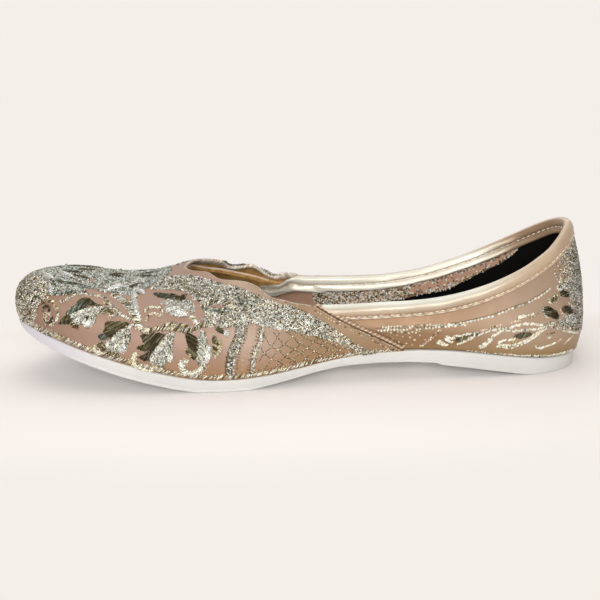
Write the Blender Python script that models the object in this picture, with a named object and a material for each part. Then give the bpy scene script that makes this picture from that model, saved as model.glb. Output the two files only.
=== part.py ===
"""Embroidered ballet flat, one shoe with no left or right.

The toe points along -X, the heel along +X, and the floor is z = 0. All tables are in millimetres.
"""

import bpy
import bmesh
import numpy as np

MM = 0.001

# Driving sizes
WALL = 1.7  # upper, leather and lining together
FIT = 0.3  # gap between pieces that are sewn or glued together
VAMP_THICK = 1.0
CORD_RADIUS = 0.95  # along the vamp's slanted back edge
CORD_LOW = 2.0  # where it starts above the sole
CORD_POINTS = 12
CORD_SIDES = 8
SOCK_THICK = 1.6
SOCK_GAP = 0.5  # between the sock's edge and the upper's inner face
OVERLAY_LOW = 0.9  # how far up the ribs the vamp overlay starts

FRONT_STATIONS = 33  # ribs on one side from the toe to the vamp's back edge
BACK_STATIONS = 22  # ribs on one side from there to the heel
UPPER_LEVELS = 12  # points up each rib
CROWD = 1.25  # above 1 they crowd towards the sole
BEZIER_STEPS = 48
STEP = 0.4  # for slopes along and across the ribs
TOP_SHARE = 1.3  # how much the top edge counts against the feather edge when ribs are spread
SHARP_ANGLE = 35  # degrees, above which an edge is shaded sharp

# Ribs of the last, from the middle of the toe down one side to the middle of the heel.
# foot_*: where the rib leaves the sole's edge; top_*: where it ends at the throat or collar.
# lean, rise: first handle, out and up from the foot. push, lift: the middle handle, out and up
# from halfway. run, dip: last handle, out and down from the top.
RIB_COLUMNS = (
    "foot_x", "foot_w", "foot_z", "top_x", "top_w", "top_z",
    "lean", "rise", "push", "lift", "run", "dip",
)  # fmt: skip
RIBS = (
    (-122.8, 0.0, 27.4, -48.6, 0.0, 44.9, 5.0, 30.0, 4.0, -8.5, 13.0, 7.0),
    (-118.8, 13.0, 26.4, -48.0, 5.2, 44.9, 4.7, 29.0, 3.6, -9.0, 13.0, 7.0),
    (-110.2, 21.6, 24.0, -46.6, 9.4, 44.8, 4.2, 26.5, 3.4, -10.0, 13.0, 6.5),
    (-92.5, 30.4, 18.4, -43.6, 13.4, 44.2, 3.8, 17.5, 3.0, -7.0, 12.0, 6.0),
    (-69.0, 35.8, 11.6, -38.0, 16.6, 42.9, 3.2, 13.5, 2.6, 0.0, 11.0, 6.5),
    (-41.0, 37.6, 5.8, -29.5, 19.4, 41.0, 2.8, 13.0, 2.4, 4.0, 11.0, 6.5),
    (-12.0, 34.4, 6.5, -18.5, 21.8, 38.0, 2.4, 10.5, 2.0, 3.0, 8.0, 7.0),
    (17.0, 26.8, 10.4, -6.5, 23.6, 34.7, 2.2, 8.0, 1.4, 1.0, 5.0, 7.0),
    (43.6, 25.0, 12.2, 5.4, 23.8, 32.5, 2.0, 6.0, 0.8, 0.5, 2.5, 7.0),
    (66.0, 26.2, 11.5, 36.0, 23.4, 31.6, 2.4, 6.0, 0.8, 0.0, 1.2, 7.0),
    (86.0, 27.2, 9.2, 66.0, 25.0, 35.2, 3.2, 6.5, 0.8, 0.0, 1.0, 9.0),
    (103.0, 25.2, 7.3, 93.0, 23.6, 45.2, 4.8, 5.5, 0.6, 0.0, 2.0, 12.0),
    (116.0, 16.4, 6.6, 110.8, 14.6, 56.2, 7.0, 3.5, 0.2, 0.0, 4.4, 14.0),
    (120.3, 0.0, 6.6, 116.8, 0.0, 59.6, 7.4, 2.5, 0.0, 0.0, 5.2, 15.0),
)
SEAM_ROW = 8  # the rib that the vamp's slanted back edge follows

# Scallops of the throat edge: where it is cut back to a notch, by the edge's own x, and how far
NOTCHES = ((-48.6, 1.6), (-36.2, 2.4), (-13.0, 2.4), (5.4, 0.8))
NOTCH_FADE = 8.0  # behind the last one
LOBE_POWER = 0.7  # below 1 the lobes between them are flatter

# Underside of the sole: heights of its lowest line, how far it stands out past the upper's foot,
# and how far the thin lip along its lower edge stands out from its side
SOLE_COLUMNS = ("x", "under_z", "margin", "lip")
SOLE = (
    (-122.8, 25.2, 1.0, 0.1),
    (-117.0, 22.2, 1.2, 0.1),
    (-110.0, 18.8, 1.2, 0.1),
    (-99.0, 14.6, 1.3, 0.1),
    (-87.6, 10.8, 1.3, 0.1),
    (-76.0, 7.2, 1.3, 0.1),
    (-65.0, 4.3, 1.3, 0.1),
    (-53.5, 1.7, 1.3, 0.1),
    (-44.0, 0.0, 1.3, 0.1),
    (-22.0, 0.0, 1.3, 0.15),
    (-9.0, 2.4, 1.2, 0.3),
    (6.0, 5.2, 1.0, 0.4),
    (16.5, 6.4, 0.9, 0.4),
    (32.0, 6.9, 0.8, 0.4),
    (47.0, 6.8, 0.8, 0.4),
    (58.0, 6.3, 0.8, 0.4),
    (58.6, 5.3, 0.8, 0.0),
    (70.0, 4.0, 0.8, 0.0),
    (86.0, 1.7, 0.6, 0.0),
    (97.0, 0.0, 0.3, 0.0),
    (121.5, 0.0, 0.0, 0.0),
)
BREAST = (58.0, 58.6)  # where the heel steps down, so ribs stand there too
# Side of the sole from its top edge down: share of the height, and how far it stands out,
# as a plain part and as a share of the lip
SIDE_COLUMNS = ("down", "out", "of_lip")
SIDE = (
    (0.0, -0.5, 0.0),
    (0.07, 0.0, 0.0),
    (0.5, 0.15, 0.0),
    (0.78, 0.0, 0.0),
    (0.82, 0.0, 1.0),
    (0.94, -0.05, 1.0),
    (1.0, -0.6, 0.8),
)
# Collar binding, a U over the edge: along the wall below the edge, and out from the wall's outer face
BINDING_COLUMNS = ("below", "out")
BINDING = (
    (6.3, 0.3),
    (6.1, 0.9),
    (4.0, 1.9),
    (1.4, 2.0),
    (-1.0, 1.1),
    (-1.7, -0.85),
    (-0.9, -2.9),
    (1.6, -3.7),
    (4.6, -3.4),
    (6.6, -2.6),
    (6.8, -2.0),
    (3.0, -2.0),
    (-0.3, -2.0),
    (-0.3, 0.3),
)
BINDING_AFTER = 5.6  # how far along the sole's edge behind the vamp's edge the binding starts


def column(rows, names, name):
    return np.array([row[names.index(name)] for row in rows])


def both_sides(values, sign):
    """A column down one side, then up the other, with sign -1 for what changes sides."""
    return np.concatenate([values, sign * values[-2:0:-1]])


class ClosedSpline:
    """Curvature-continuous closed curve through points, at given parameters."""

    def __init__(self, knots, period, points):
        self.knots = np.asarray(knots, float)
        self.points = np.asarray(points, float)
        self.steps = np.diff(np.append(self.knots, period))
        self.period = period
        count = len(self.knots)
        matrix = np.zeros((count, count))
        right = np.zeros_like(self.points)
        for i in range(count):
            before = self.steps[i - 1]
            after = self.steps[i]
            following = (i + 1) % count
            matrix[i, i - 1] += 1 / before
            matrix[i, i] += 2 / before + 2 / after
            matrix[i, following] += 1 / after
            right[i] = 3 * (self.points[i] - self.points[i - 1]) / before**2
            right[i] += 3 * (self.points[following] - self.points[i]) / after**2
        self.slopes = np.linalg.solve(matrix, right)

    def __call__(self, where):
        where = np.mod(where, self.period)
        index = np.searchsorted(self.knots, where, side="right") - 1
        following = (index + 1) % len(self.knots)
        step = self.steps[index][:, None]
        u = (where - self.knots[index])[:, None] / step
        return (
            (1 + 2 * u) * (1 - u) ** 2 * self.points[index]
            + u * (1 - u) ** 2 * step * self.slopes[index]
            + u**2 * (3 - 2 * u) * self.points[following]
            + u**2 * (u - 1) * step * self.slopes[following]
        )


def last_curves():
    """The feather edge, the top edge and the handle sizes, on one shared parameter."""
    values = {name: column(RIBS, RIB_COLUMNS, name) for name in RIB_COLUMNS}
    # The near side lies at -Y
    foot = np.stack(
        [
            both_sides(values["foot_x"], 1),
            both_sides(-values["foot_w"], -1),
            both_sides(values["foot_z"], 1),
        ],
        axis=1,
    )
    top = np.stack(
        [
            both_sides(values["top_x"], 1),
            both_sides(-values["top_w"], -1),
            both_sides(values["top_z"], 1),
        ],
        axis=1,
    )
    shape = np.stack(
        [both_sides(values[name], 1) for name in RIB_COLUMNS[6:]], axis=1
    )
    steps = np.linalg.norm(np.roll(foot, -1, axis=0) - foot, axis=1)
    knots = np.concatenate([[0], np.cumsum(steps)[:-1]])
    period = steps.sum()
    return (
        ClosedSpline(knots, period, foot),
        ClosedSpline(knots, period, top),
        ClosedSpline(knots, period, shape),
    )


FOOT, TOP, SHAPE = last_curves()
PERIOD = FOOT.period
SEAM = FOOT.knots[SEAM_ROW]


def outward(curve, where):
    """Level unit normal of a closed curve, pointing away from the shoe's middle."""
    ahead = curve(where + STEP / 8) - curve(where - STEP / 8)
    # Going from the toe along -Y to the heel, the outside is on the right
    normal = np.stack([ahead[:, 1], -ahead[:, 0], np.zeros(len(where))], axis=1)
    return normal / np.linalg.norm(normal, axis=1)[:, None]


def ribs(where):
    """Points up each rib of the last, finely, as an array of rib, step, xyz."""
    foot = FOOT(where)
    top = TOP(where)
    lean, rise, push, lift, run, dip = SHAPE(where).T[:, :, None]
    up = np.array([0.0, 0.0, 1.0])
    foot_out = outward(FOOT, where)
    top_out = outward(TOP, where)
    # A slanted rib moves on evenly along the edge as it climbs
    edge = np.cross(up, foot_out)
    slant = edge * np.sum((top - foot) * edge, axis=1)[:, None]
    first = foot + foot_out * lean + up * rise + slant / 4
    last = top + top_out * run - up * dip - slant / 4
    middle = (first + last) / 2 + (foot_out + top_out) / 2 * push + up * lift
    t = np.linspace(0, 1, BEZIER_STEPS)[None, :, None]
    return (
        (1 - t) ** 4 * foot[:, None]
        + 4 * t * (1 - t) ** 3 * first[:, None]
        + 6 * t**2 * (1 - t) ** 2 * middle[:, None]
        + 4 * t**3 * (1 - t) * last[:, None]
        + t**4 * top[:, None]
    )


def notch(where):
    """How far the throat's edge is cut back at each rib: sharp notches between round lobes."""
    x = TOP(where)[:, 0]
    places, depths = np.array(NOTCHES).T
    phase = np.interp(x, places, np.arange(len(places)))
    depth = np.interp(x, places, depths)
    lobes = depth * (1 - np.abs(np.sin(np.pi * phase)) ** LOBE_POWER)
    fading = depths[-1] * np.exp((places[-1] - x) / NOTCH_FADE)
    return np.where(x < places[-1], lobes, fading)


def lengths(lines):
    steps = np.linalg.norm(np.diff(lines, axis=1), axis=2)
    return np.concatenate([np.zeros((len(lines), 1)), np.cumsum(steps, axis=1)], axis=1)


def at_lengths(lines, wanted):
    """Points of each line at the wanted lengths from its start."""
    along = lengths(lines)
    found = np.empty((*wanted.shape, 3))
    for i, line in enumerate(lines):
        for axis in range(3):
            found[i, :, axis] = np.interp(wanted[i], along[i], line[:, axis])
    return found


def wall_normals(where, lines, wanted):
    """Unit normals of the last, pointing out, at lengths along its ribs."""
    ahead = at_lengths(ribs(where + STEP), wanted)
    behind = at_lengths(ribs(where - STEP), wanted)
    higher = at_lengths(lines, wanted + STEP)
    lower = at_lengths(lines, wanted - STEP)
    normal = np.cross(ahead - behind, higher - lower)
    return normal / np.linalg.norm(normal, axis=2)[:, :, None]


def surface(where, levels, low=0.0):
    """Outer face of the upper and its normals, stepped up to the notched edge, the first step at low."""
    lines = ribs(where)
    total = lengths(lines)[:, -1] - notch(where)
    wanted = np.linspace(0, 1, levels)[None, :] ** CROWD * total[:, None]
    wanted[:, 0] = low
    face = at_lengths(lines, wanted)
    return face, wall_normals(where, lines, wanted)


def stations(first, last, count):
    """Parameters from first to last, spread evenly by the length of both edges together."""
    fine = np.linspace(first, last, 600)
    steps = np.linalg.norm(np.diff(FOOT(fine), axis=0), axis=1)
    steps += TOP_SHARE * np.linalg.norm(np.diff(TOP(fine), axis=0), axis=1)
    along = np.concatenate([[0], np.cumsum(steps)])
    return np.interp(np.linspace(0, along[-1], count), along, fine)


def add_mesh(name, points, faces, colour, roughness, metallic):
    """One named object with its own material, from points in millimetres."""
    mesh = bpy.data.meshes.new(name)
    mesh.from_pydata([tuple(p) for p in np.asarray(points) * MM], [], faces)
    shape = bmesh.new()
    shape.from_mesh(mesh)
    bmesh.ops.recalc_face_normals(shape, faces=shape.faces)
    bmesh.ops.triangulate(shape, faces=[f for f in shape.faces if len(f.verts) > 4])
    shape.to_mesh(mesh)
    shape.free()
    mesh.shade_smooth()
    mesh.set_sharp_from_angle(angle=np.radians(SHARP_ANGLE))
    material = bpy.data.materials.new(name)
    material.use_nodes = True
    shader = material.node_tree.nodes["Principled BSDF"]
    shader.inputs["Base Color"].default_value = (*colour, 1)
    shader.inputs["Roughness"].default_value = roughness
    shader.inputs["Metallic"].default_value = metallic
    mesh.materials.append(material)
    piece = bpy.data.objects.new(name, mesh)
    bpy.context.scene.collection.objects.link(piece)
    return piece


def loop_faces(rows, columns, close_rows, close_columns):
    """Quads of a grid of points, wrapped round in either direction."""
    faces = []
    for i in range(rows if close_rows else rows - 1):
        for j in range(columns if close_columns else columns - 1):
            after = (i + 1) % rows
            beside = (j + 1) % columns
            faces.append(
                (i * columns + j, after * columns + j, after * columns + beside, i * columns + beside)
            )
    return faces


def plate_faces(rows, columns):
    """Strips across the shoe that close the first and the last ring of a grid of rings."""
    faces = []
    for ring in (0, columns - 1):
        for i in range(rows // 2):
            ends = (i, i + 1, (rows - i - 1) % rows, (rows - i) % rows)
            corners = [end * columns + ring for end in ends]
            faces.append(tuple(dict.fromkeys(corners)))
    return faces


def section_sweep(sections, closed):
    """Points and faces of a ring-shaped section carried along stations, capped at its ends if open."""
    rows, columns = sections.shape[:2]
    faces = loop_faces(rows, columns, closed, True)
    if not closed:
        faces.append(tuple(range(columns)))
        faces.append(tuple(range((rows - 1) * columns, rows * columns)))
    return sections.reshape(-1, 3), faces


def front_and_back():
    """Stations all the way round, with one on each vamp edge."""
    front = stations(0, SEAM, FRONT_STATIONS)
    back = stations(SEAM, PERIOD / 2, BACK_STATIONS)
    one_side = np.concatenate([front, back[1:]])
    return np.concatenate([one_side, PERIOD - one_side[-2:0:-1]])


def make_upper():
    where = front_and_back()
    face, normal = surface(where, UPPER_LEVELS)
    inner = face - normal * WALL
    sections = np.concatenate([face, inner[:, ::-1]], axis=1)
    points, faces = section_sweep(sections, True)
    return add_mesh("upper", points, faces, (0.56, 0.38, 0.30), 0.42, 0.1)


def make_vamp_overlay():
    one_side = stations(0, SEAM, FRONT_STATIONS)
    where = np.concatenate([-one_side[::-1], one_side[1:]])
    face, normal = surface(where, UPPER_LEVELS, low=OVERLAY_LOW)
    inner = face + normal * FIT
    outer = face + normal * (FIT + VAMP_THICK)
    sections = np.concatenate([outer, inner[:, ::-1]], axis=1)
    points, faces = section_sweep(sections, False)
    return add_mesh("vamp_overlay", points, faces, (0.52, 0.45, 0.32), 0.35, 0.5)


def with_breast(where):
    """The stations with one more at each end of the heel's step, on both sides."""
    heel = where[(where > SEAM) & (where < PERIOD / 2)]
    breast = np.interp(BREAST, FOOT(heel)[:, 0], heel)
    return np.sort(np.concatenate([where, breast, PERIOD - breast]))


def make_outsole():
    where = with_breast(front_and_back())
    edge = FOOT(where)
    out = outward(FOOT, where)
    sole_x = column(SOLE, SOLE_COLUMNS, "x")
    under, margin, lip = (
        np.interp(edge[:, 0], sole_x, column(SOLE, SOLE_COLUMNS, name))
        for name in ("under_z", "margin", "lip")
    )
    above = edge[:, 2] - FIT
    rings = []
    for down, plain, of_lip in SIDE:
        ring = edge + out * (margin + plain + of_lip * lip)[:, None]
        ring[:, 2] = above + (under - above) * down
        rings.append(ring)
    grid = np.stack(rings, axis=1)
    rows, columns = grid.shape[:2]
    faces = loop_faces(rows, columns, True, False) + plate_faces(rows, columns)
    return add_mesh("outsole", grid.reshape(-1, 3), faces, (0.86, 0.86, 0.85), 0.45, 0.0)


def make_insole():
    where = front_and_back()
    edge = FOOT(where) - outward(FOOT, where) * (WALL + SOCK_GAP)
    grid = np.stack([edge, edge + np.array([0, 0, SOCK_THICK])], axis=1)
    faces = loop_faces(len(where), 2, True, False) + plate_faces(len(where), 2)
    return add_mesh("insole", grid.reshape(-1, 3), faces, (0.02, 0.02, 0.02), 0.8, 0.0)


def make_collar_binding():
    where = stations(SEAM + BINDING_AFTER, PERIOD - SEAM - BINDING_AFTER, 2 * BACK_STATIONS)
    lines = ribs(where)
    total = lengths(lines)[:, -1] - notch(where)
    below = column(BINDING, BINDING_COLUMNS, "below")
    out = column(BINDING, BINDING_COLUMNS, "out")
    # Ribs meet the edge at a slant, so a width across the binding is longer along a rib
    rim = at_lengths(lines, total[:, None])[:, 0]
    climb = rim - at_lengths(lines, total[:, None] - STEP)[:, 0]
    climb /= np.linalg.norm(climb, axis=1)[:, None]
    along = np.gradient(rim, axis=0)
    along /= np.linalg.norm(along, axis=1)[:, None]
    square = np.linalg.norm(np.cross(climb, along), axis=1)
    wanted = total[:, None] - np.maximum(below, 0)[None, :] / square[:, None]
    face = at_lengths(lines, wanted)
    normal = wall_normals(where, lines, wanted)
    # Above the edge the section stands square to it
    upright = np.cross(along, normal[:, below.argmin()])
    upright *= np.sign(np.sum(upright * climb, axis=1))[:, None]
    above = np.maximum(-below, 0)[None, :, None] * upright[:, None]
    points, faces = section_sweep(face + above + normal * out[None, :, None], False)
    return add_mesh("collar_binding", points, faces, (0.66, 0.50, 0.40), 0.35, 0.15)


def make_edge_cord(name, where, side):
    """A cord laid against the vamp's slanted back edge, on the outer face of the upper."""
    station = np.array([where])
    line = ribs(station)
    total = lengths(line)[0, -1] - notch(station)[0]
    wanted = np.linspace(CORD_LOW, total - CORD_RADIUS, CORD_POINTS)[None, :]
    face = at_lengths(line, wanted)[0]
    normal = wall_normals(station, line, wanted)[0]
    climb = np.gradient(face, axis=0)
    climb /= np.linalg.norm(climb, axis=1)[:, None]
    behind = np.cross(climb, normal) * side
    centre = face + behind * (FIT + CORD_RADIUS) + normal * (FIT + CORD_RADIUS)
    angles = np.linspace(0, 2 * np.pi, CORD_SIDES, endpoint=False)[None, :, None]
    ring = behind[:, None] * np.cos(angles) + normal[:, None] * np.sin(angles)
    points, faces = section_sweep(centre[:, None] + ring * CORD_RADIUS, False)
    return add_mesh(name, points, faces, (0.62, 0.46, 0.34), 0.35, 0.4)


def main():
    for old in list(bpy.data.objects):
        bpy.data.objects.remove(old)
    make_outsole()
    make_insole()
    make_upper()
    make_vamp_overlay()
    make_edge_cord("vamp_edge_cord_left", SEAM, 1)
    make_edge_cord("vamp_edge_cord_right", PERIOD - SEAM, -1)
    make_collar_binding()


main()
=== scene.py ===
import math

import bpy
import numpy as np
from mathutils import Matrix, Vector
from mathutils.bvhtree import BVHTree


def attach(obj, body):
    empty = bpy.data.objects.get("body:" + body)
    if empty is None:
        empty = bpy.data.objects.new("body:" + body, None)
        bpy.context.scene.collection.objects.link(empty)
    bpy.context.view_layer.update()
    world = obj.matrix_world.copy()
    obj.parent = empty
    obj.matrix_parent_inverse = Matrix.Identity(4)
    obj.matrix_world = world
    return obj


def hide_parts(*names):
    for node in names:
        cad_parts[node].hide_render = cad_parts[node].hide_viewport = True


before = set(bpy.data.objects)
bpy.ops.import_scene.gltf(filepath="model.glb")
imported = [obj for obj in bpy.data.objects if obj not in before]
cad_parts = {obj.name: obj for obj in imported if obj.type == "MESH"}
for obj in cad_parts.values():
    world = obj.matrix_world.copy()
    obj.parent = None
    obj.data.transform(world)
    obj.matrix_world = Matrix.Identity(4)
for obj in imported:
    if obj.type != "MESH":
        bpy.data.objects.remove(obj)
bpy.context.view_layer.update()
mm = 0.001
randomDraws = np.random.default_rng(12)
print("frame loaded:", sorted(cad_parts))

# The last is the solids' own, but for a straighter heel and a flatter toe by about a millimetre.
# Its ribs run from the sole's edge up to the throat or collar, in millimetres.
# Toe at -X, heel at +X, the near side at -Y.
ribNames = ("footX", "footW", "footZ", "topX", "topW", "topZ", "lean", "rise", "push", "lift", "run", "dip")
ribTable = (
    (-122.8, 0.0, 27.4, -48.6, 0.0, 44.9, 3.8, 30.0, 4.0, -10.3, 13.0, 8.4),
    (-118.8, 13.0, 26.4, -48.0, 5.2, 44.9, 3.6, 29.0, 3.6, -10.8, 13.0, 8.4),
    (-110.2, 21.6, 24.0, -46.6, 9.4, 44.8, 3.6, 26.5, 3.4, -11.4, 13.0, 7.6),
    (-92.5, 30.4, 18.4, -43.6, 13.4, 44.2, 3.6, 17.5, 3.0, -7.8, 12.0, 6.4),
    (-69.0, 35.8, 11.6, -38.0, 16.6, 42.9, 3.2, 13.5, 2.6, 0.0, 11.0, 6.5),
    (-41.0, 37.6, 5.8, -29.5, 19.4, 41.0, 2.8, 13.0, 2.4, 4.0, 11.0, 6.5),
    (-12.0, 34.4, 6.5, -18.5, 21.8, 38.0, 2.4, 10.5, 2.0, 3.0, 8.0, 7.0),
    (17.0, 26.8, 10.4, -6.5, 23.6, 34.7, 2.2, 8.0, 1.4, 1.0, 5.0, 7.0),
    (43.6, 25.0, 12.2, 5.4, 23.8, 32.5, 2.0, 6.0, 0.8, 0.5, 2.5, 7.0),
    (66.0, 26.2, 11.5, 36.0, 23.4, 31.6, 2.4, 6.0, 0.8, 0.0, 1.2, 7.0),
    (86.0, 27.2, 9.2, 66.0, 25.0, 35.2, 3.2, 6.5, 0.8, 0.0, 1.0, 9.0),
    (103.0, 25.2, 7.3, 93.0, 23.6, 45.2, 4.8, 5.5, 0.6, 0.0, 2.0, 12.0),
    (116.0, 16.4, 6.6, 111.4, 14.6, 56.2, 5.4, 3.5, 0.2, 0.0, 5.0, 14.0),
    (120.3, 0.0, 6.6, 117.7, 0.0, 59.6, 5.4, 2.5, 0.0, 0.0, 5.6, 15.0),
)
seamRow = 8
last = {"wall": 1.7, "fit": 0.3, "vamp": 1.0, "ribSteps": 72, "slopeStep": 0.4, "topShare": 1.3}
# how far the throat's scalloped hem lies back from the ribs' full height, against the edge's x;
# below nought it stands higher
hem = {
    "near": (-48.6, 1.2, -47.8, 0.8, -45.8, -0.6, -42.5, -3.2, -40.5, -3.1, -38, -1.8, -35, -0.9,
        -32.5, -1.1, -28, -2.6, -24, -3.4, -20.5, -3.2, -18, -2.8, -16, -1.6, -14.5, -0.2, -12.5, 0.9,
        -10.5, 1, -7, 0.4, -2, 0.1, 5.4, 0.8),
    "far": (-48.6, 1.2, -47.8, 0.2, -46.4, -0.6, -44, 0.3, -41.5, -0.4, -38.8, -1.2, -36, -0.4, -33.4, 1.4,
        -31, 5, -28.8, 6.2, -26.8, 4, -24, 0.2, -21.2, -1.7, -18.4, 0.4, -16, 4, -13.6, 6, -11.2, 4.4,
        -8, 1, -4.6, -1.4, -1.4, -2.3, 1, -0.8, 3, 0.6, 5.4, 0.8),
    # under the vamp the upper's own edge runs lower and without waves
    "under": (-48.6, 2.2, -44, 4.2, -37, 6.5, -28, 7.5, -20, 6.8, -14, 7.6, -10, 6.4, -8, 4.6, -5, 2.3,
        -2, 1.1, 0.5, 0.4, 5.4, 0.3),
    "fade": 8.0,
}


def wayAlong(points):
    # distances along a line of points
    return np.concatenate([[0], np.cumsum(np.linalg.norm(np.diff(points, axis=0), axis=1))])


def unit(vectors):
    return vectors / np.maximum(np.linalg.norm(vectors, axis=-1, keepdims=True), 1e-9)


def follow(x, table):
    # a table is written as x, value, x, value and so on
    return np.interp(x, table[::2], table[1::2])


def columnsAt(along, way, values):
    return np.stack([np.interp(along, way, values[:, i]) for i in range(3)], axis=-1)


def closedSpline(knots, period, points):
    count = len(knots)
    steps = np.diff(np.append(knots, period))
    matrix = np.zeros((count, count))
    right = np.zeros_like(points)
    for i in range(count):
        following = (i + 1) % count
        matrix[i, i - 1] += 1 / steps[i - 1]
        matrix[i, i] += 2 / steps[i - 1] + 2 / steps[i]
        matrix[i, following] += 1 / steps[i]
        right[i] = 3 * (points[i] - points[i - 1]) / steps[i - 1] ** 2
        right[i] += 3 * (points[following] - points[i]) / steps[i] ** 2
    slopes = np.linalg.solve(matrix, right)

    def curve(where):
        where = np.mod(where, period)
        i = np.searchsorted(knots, where, side="right") - 1
        after = (i + 1) % count
        step = steps[i][:, None]
        u = (where - knots[i])[:, None] / step
        return (
            (1 + 2 * u) * (1 - u) ** 2 * points[i]
            + u * (1 - u) ** 2 * step * slopes[i]
            + u**2 * (3 - 2 * u) * points[after]
            + u**2 * (u - 1) * step * slopes[after]
        )

    return curve


def lastCurves():
    rows = {name: np.array([rib[i] for rib in ribTable]) for i, name in enumerate(ribNames)}

    def bothSides(names):
        # the near side in full, then the far side back towards the toe
        near = np.stack([rows[name] for name in names], axis=1)
        far = near[-2:0:-1].copy()
        widths = [i for i, name in enumerate(names) if name.endswith("W")]
        near[:, widths] *= -1
        return np.concatenate([near, far])

    foot, top, shape = (bothSides(ribNames[i:j]) for i, j in ((0, 3), (3, 6), (6, 12)))
    steps = np.linalg.norm(np.roll(foot, -1, axis=0) - foot, axis=1)
    knots = np.concatenate([[0], np.cumsum(steps)[:-1]])
    period = steps.sum()
    curves = [closedSpline(knots, period, points) for points in (foot, top, shape)]
    return (*curves, period, knots[seamRow])


footCurve, topCurve, shapeCurve, wholeWay, seamWay = lastCurves()


def outwardOf(curve, where):
    ahead = curve(where + 0.05) - curve(where - 0.05)
    return unit(np.stack([ahead[:, 1], -ahead[:, 0], np.zeros(len(where))], axis=1))


def ribLines(where):
    foot, top = footCurve(where), topCurve(where)
    lean, rise, push, lift, run, dip = shapeCurve(where).T[:, :, None]
    up = np.array([0.0, 0.0, 1.0])
    footOut, topOut = outwardOf(footCurve, where), outwardOf(topCurve, where)
    edge = np.cross(up, footOut)
    slant = edge * np.sum((top - foot) * edge, axis=1)[:, None]
    first = foot + footOut * lean + up * rise + slant / 4
    final = top + topOut * run - up * dip - slant / 4
    middle = (first + final) / 2 + (footOut + topOut) / 2 * push + up * lift
    t = np.linspace(0, 1, last["ribSteps"])[None, :, None]
    return (
        (1 - t) ** 4 * foot[:, None]
        + 4 * t * (1 - t) ** 3 * first[:, None]
        + 6 * t**2 * (1 - t) ** 2 * middle[:, None]
        + 4 * t**3 * (1 - t) * final[:, None]
        + t**4 * top[:, None]
    )


def hemLine(x, name):
    # the table's corners are rounded off; behind the vamp the cut fades out
    shares = ((-1.6, 1), (-0.8, 2), (0, 2), (0.8, 2), (1.6, 1))
    rounded = sum(share * follow(x + shift, hem[name]) for shift, share in shares) / 8
    endX, endCut = hem[name][-2:]
    return np.where(x < endX, rounded, endCut * np.exp((endX - x) / hem["fade"]))


def cutBack(where):
    x, y = topCurve(where)[:, :2].T
    return np.where(y < 0, hemLine(x, "near"), hemLine(x, "far"))


def underCut(where):
    return hemLine(topCurve(where)[:, 0], "under")


def alongRibs(lines):
    steps = np.linalg.norm(np.diff(lines, axis=1), axis=2)
    return np.concatenate([np.zeros((len(lines), 1)), np.cumsum(steps, axis=1)], axis=1)


def atHeights(lines, heights):
    along = alongRibs(lines)
    found = np.empty((*heights.shape, 3))
    for i, line in enumerate(lines):
        found[i] = columnsAt(heights[i], along[i], line)
        beyond = np.maximum(heights[i] - along[i, -1], 0)
        found[i] += beyond[:, None] * (line[-1] - line[-3]) / np.linalg.norm(line[-1] - line[-3])
    return found


def ribTotals(where):
    return alongRibs(ribLines(where))[:, -1] - cutBack(where)


def underTotals(where):
    return alongRibs(ribLines(where))[:, -1] - underCut(where)


def face(where, heights):
    # points and outward normals of the upper's outer face at heights up each rib
    step = last["slopeStep"]
    lines = ribLines(where)
    points = atHeights(lines, heights)
    ahead = atHeights(ribLines(where + step), heights)
    behind = atHeights(ribLines(where - step), heights)
    climb = atHeights(lines, heights + step) - atHeights(lines, heights - step)
    return points, unit(np.cross(ahead - behind, climb))


def spread(first, final, count):
    # stations evenly spread by the lengths of foot and top together
    fine = np.linspace(first, final, 900)
    steps = np.linalg.norm(np.diff(footCurve(fine), axis=0), axis=1)
    steps += last["topShare"] * np.linalg.norm(np.diff(topCurve(fine), axis=0), axis=1)
    along = np.concatenate([[0], np.cumsum(steps)])
    return np.interp(np.linspace(0, along[-1], count), along, fine)


def bothWays(until, count):
    # from one side's station round the toe to the other's
    near = spread(0, until, count)
    return np.concatenate([-near[::-1], near[1:]])


def wholeRound(front, back):
    near = np.concatenate([spread(0, seamWay, front), spread(seamWay, wholeWay / 2, back)[1:]])
    return np.concatenate([near, wholeWay - near[-2:0:-1]])


def srgb(red, green, blue):
    shares = [value / 255 for value in (red, green, blue)]
    return tuple(s / 12.92 if s <= 0.04045 else ((s + 0.055) / 1.055) ** 2.4 for s in shares)


def whereIs(x, curve):
    # the near side's station at this x
    fine = np.linspace(0, wholeWay / 2, 2000)
    return float(np.interp(x, curve(fine)[:, 0], fine))


def newObject(name, data):
    made = bpy.data.objects.new(name, data)
    bpy.context.scene.collection.objects.link(made)
    return made


def meshPiece(name, points, faces, material):
    mesh = bpy.data.meshes.new(name)
    mesh.from_pydata((np.asarray(points) * mm).tolist(), [], faces)
    mesh.validate()
    mesh.shade_smooth()
    mesh.materials.append(material)
    piece = newObject(name, mesh)
    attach(piece, "root")
    return piece


def gridFaces(rows, columns, closeRows=False, closeColumns=False, start=0):
    i = np.arange(rows if closeRows else rows - 1)[:, None]
    j = np.arange(columns if closeColumns else columns - 1)[None, :]
    after, beside = (i + 1) % rows, (j + 1) % columns
    quads = np.stack(
        [i * columns + j, after * columns + j, after * columns + beside, i * columns + beside], axis=-1
    )
    return (quads.reshape(-1, 4) + start).tolist()


def paintFaces(piece, kinds, *materials):
    for material in materials:
        piece.data.materials.append(material)
    piece.data.polygons.foreach_set("material_index", kinds.astype(np.int32))


def paintPoints(mesh, name, tone):
    colours = np.concatenate([tone, np.ones((len(tone), 1))], axis=1).astype(np.float32)
    mesh.attributes.new(name, "FLOAT_COLOR", "POINT").data.foreach_set("color", colours.ravel())


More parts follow.
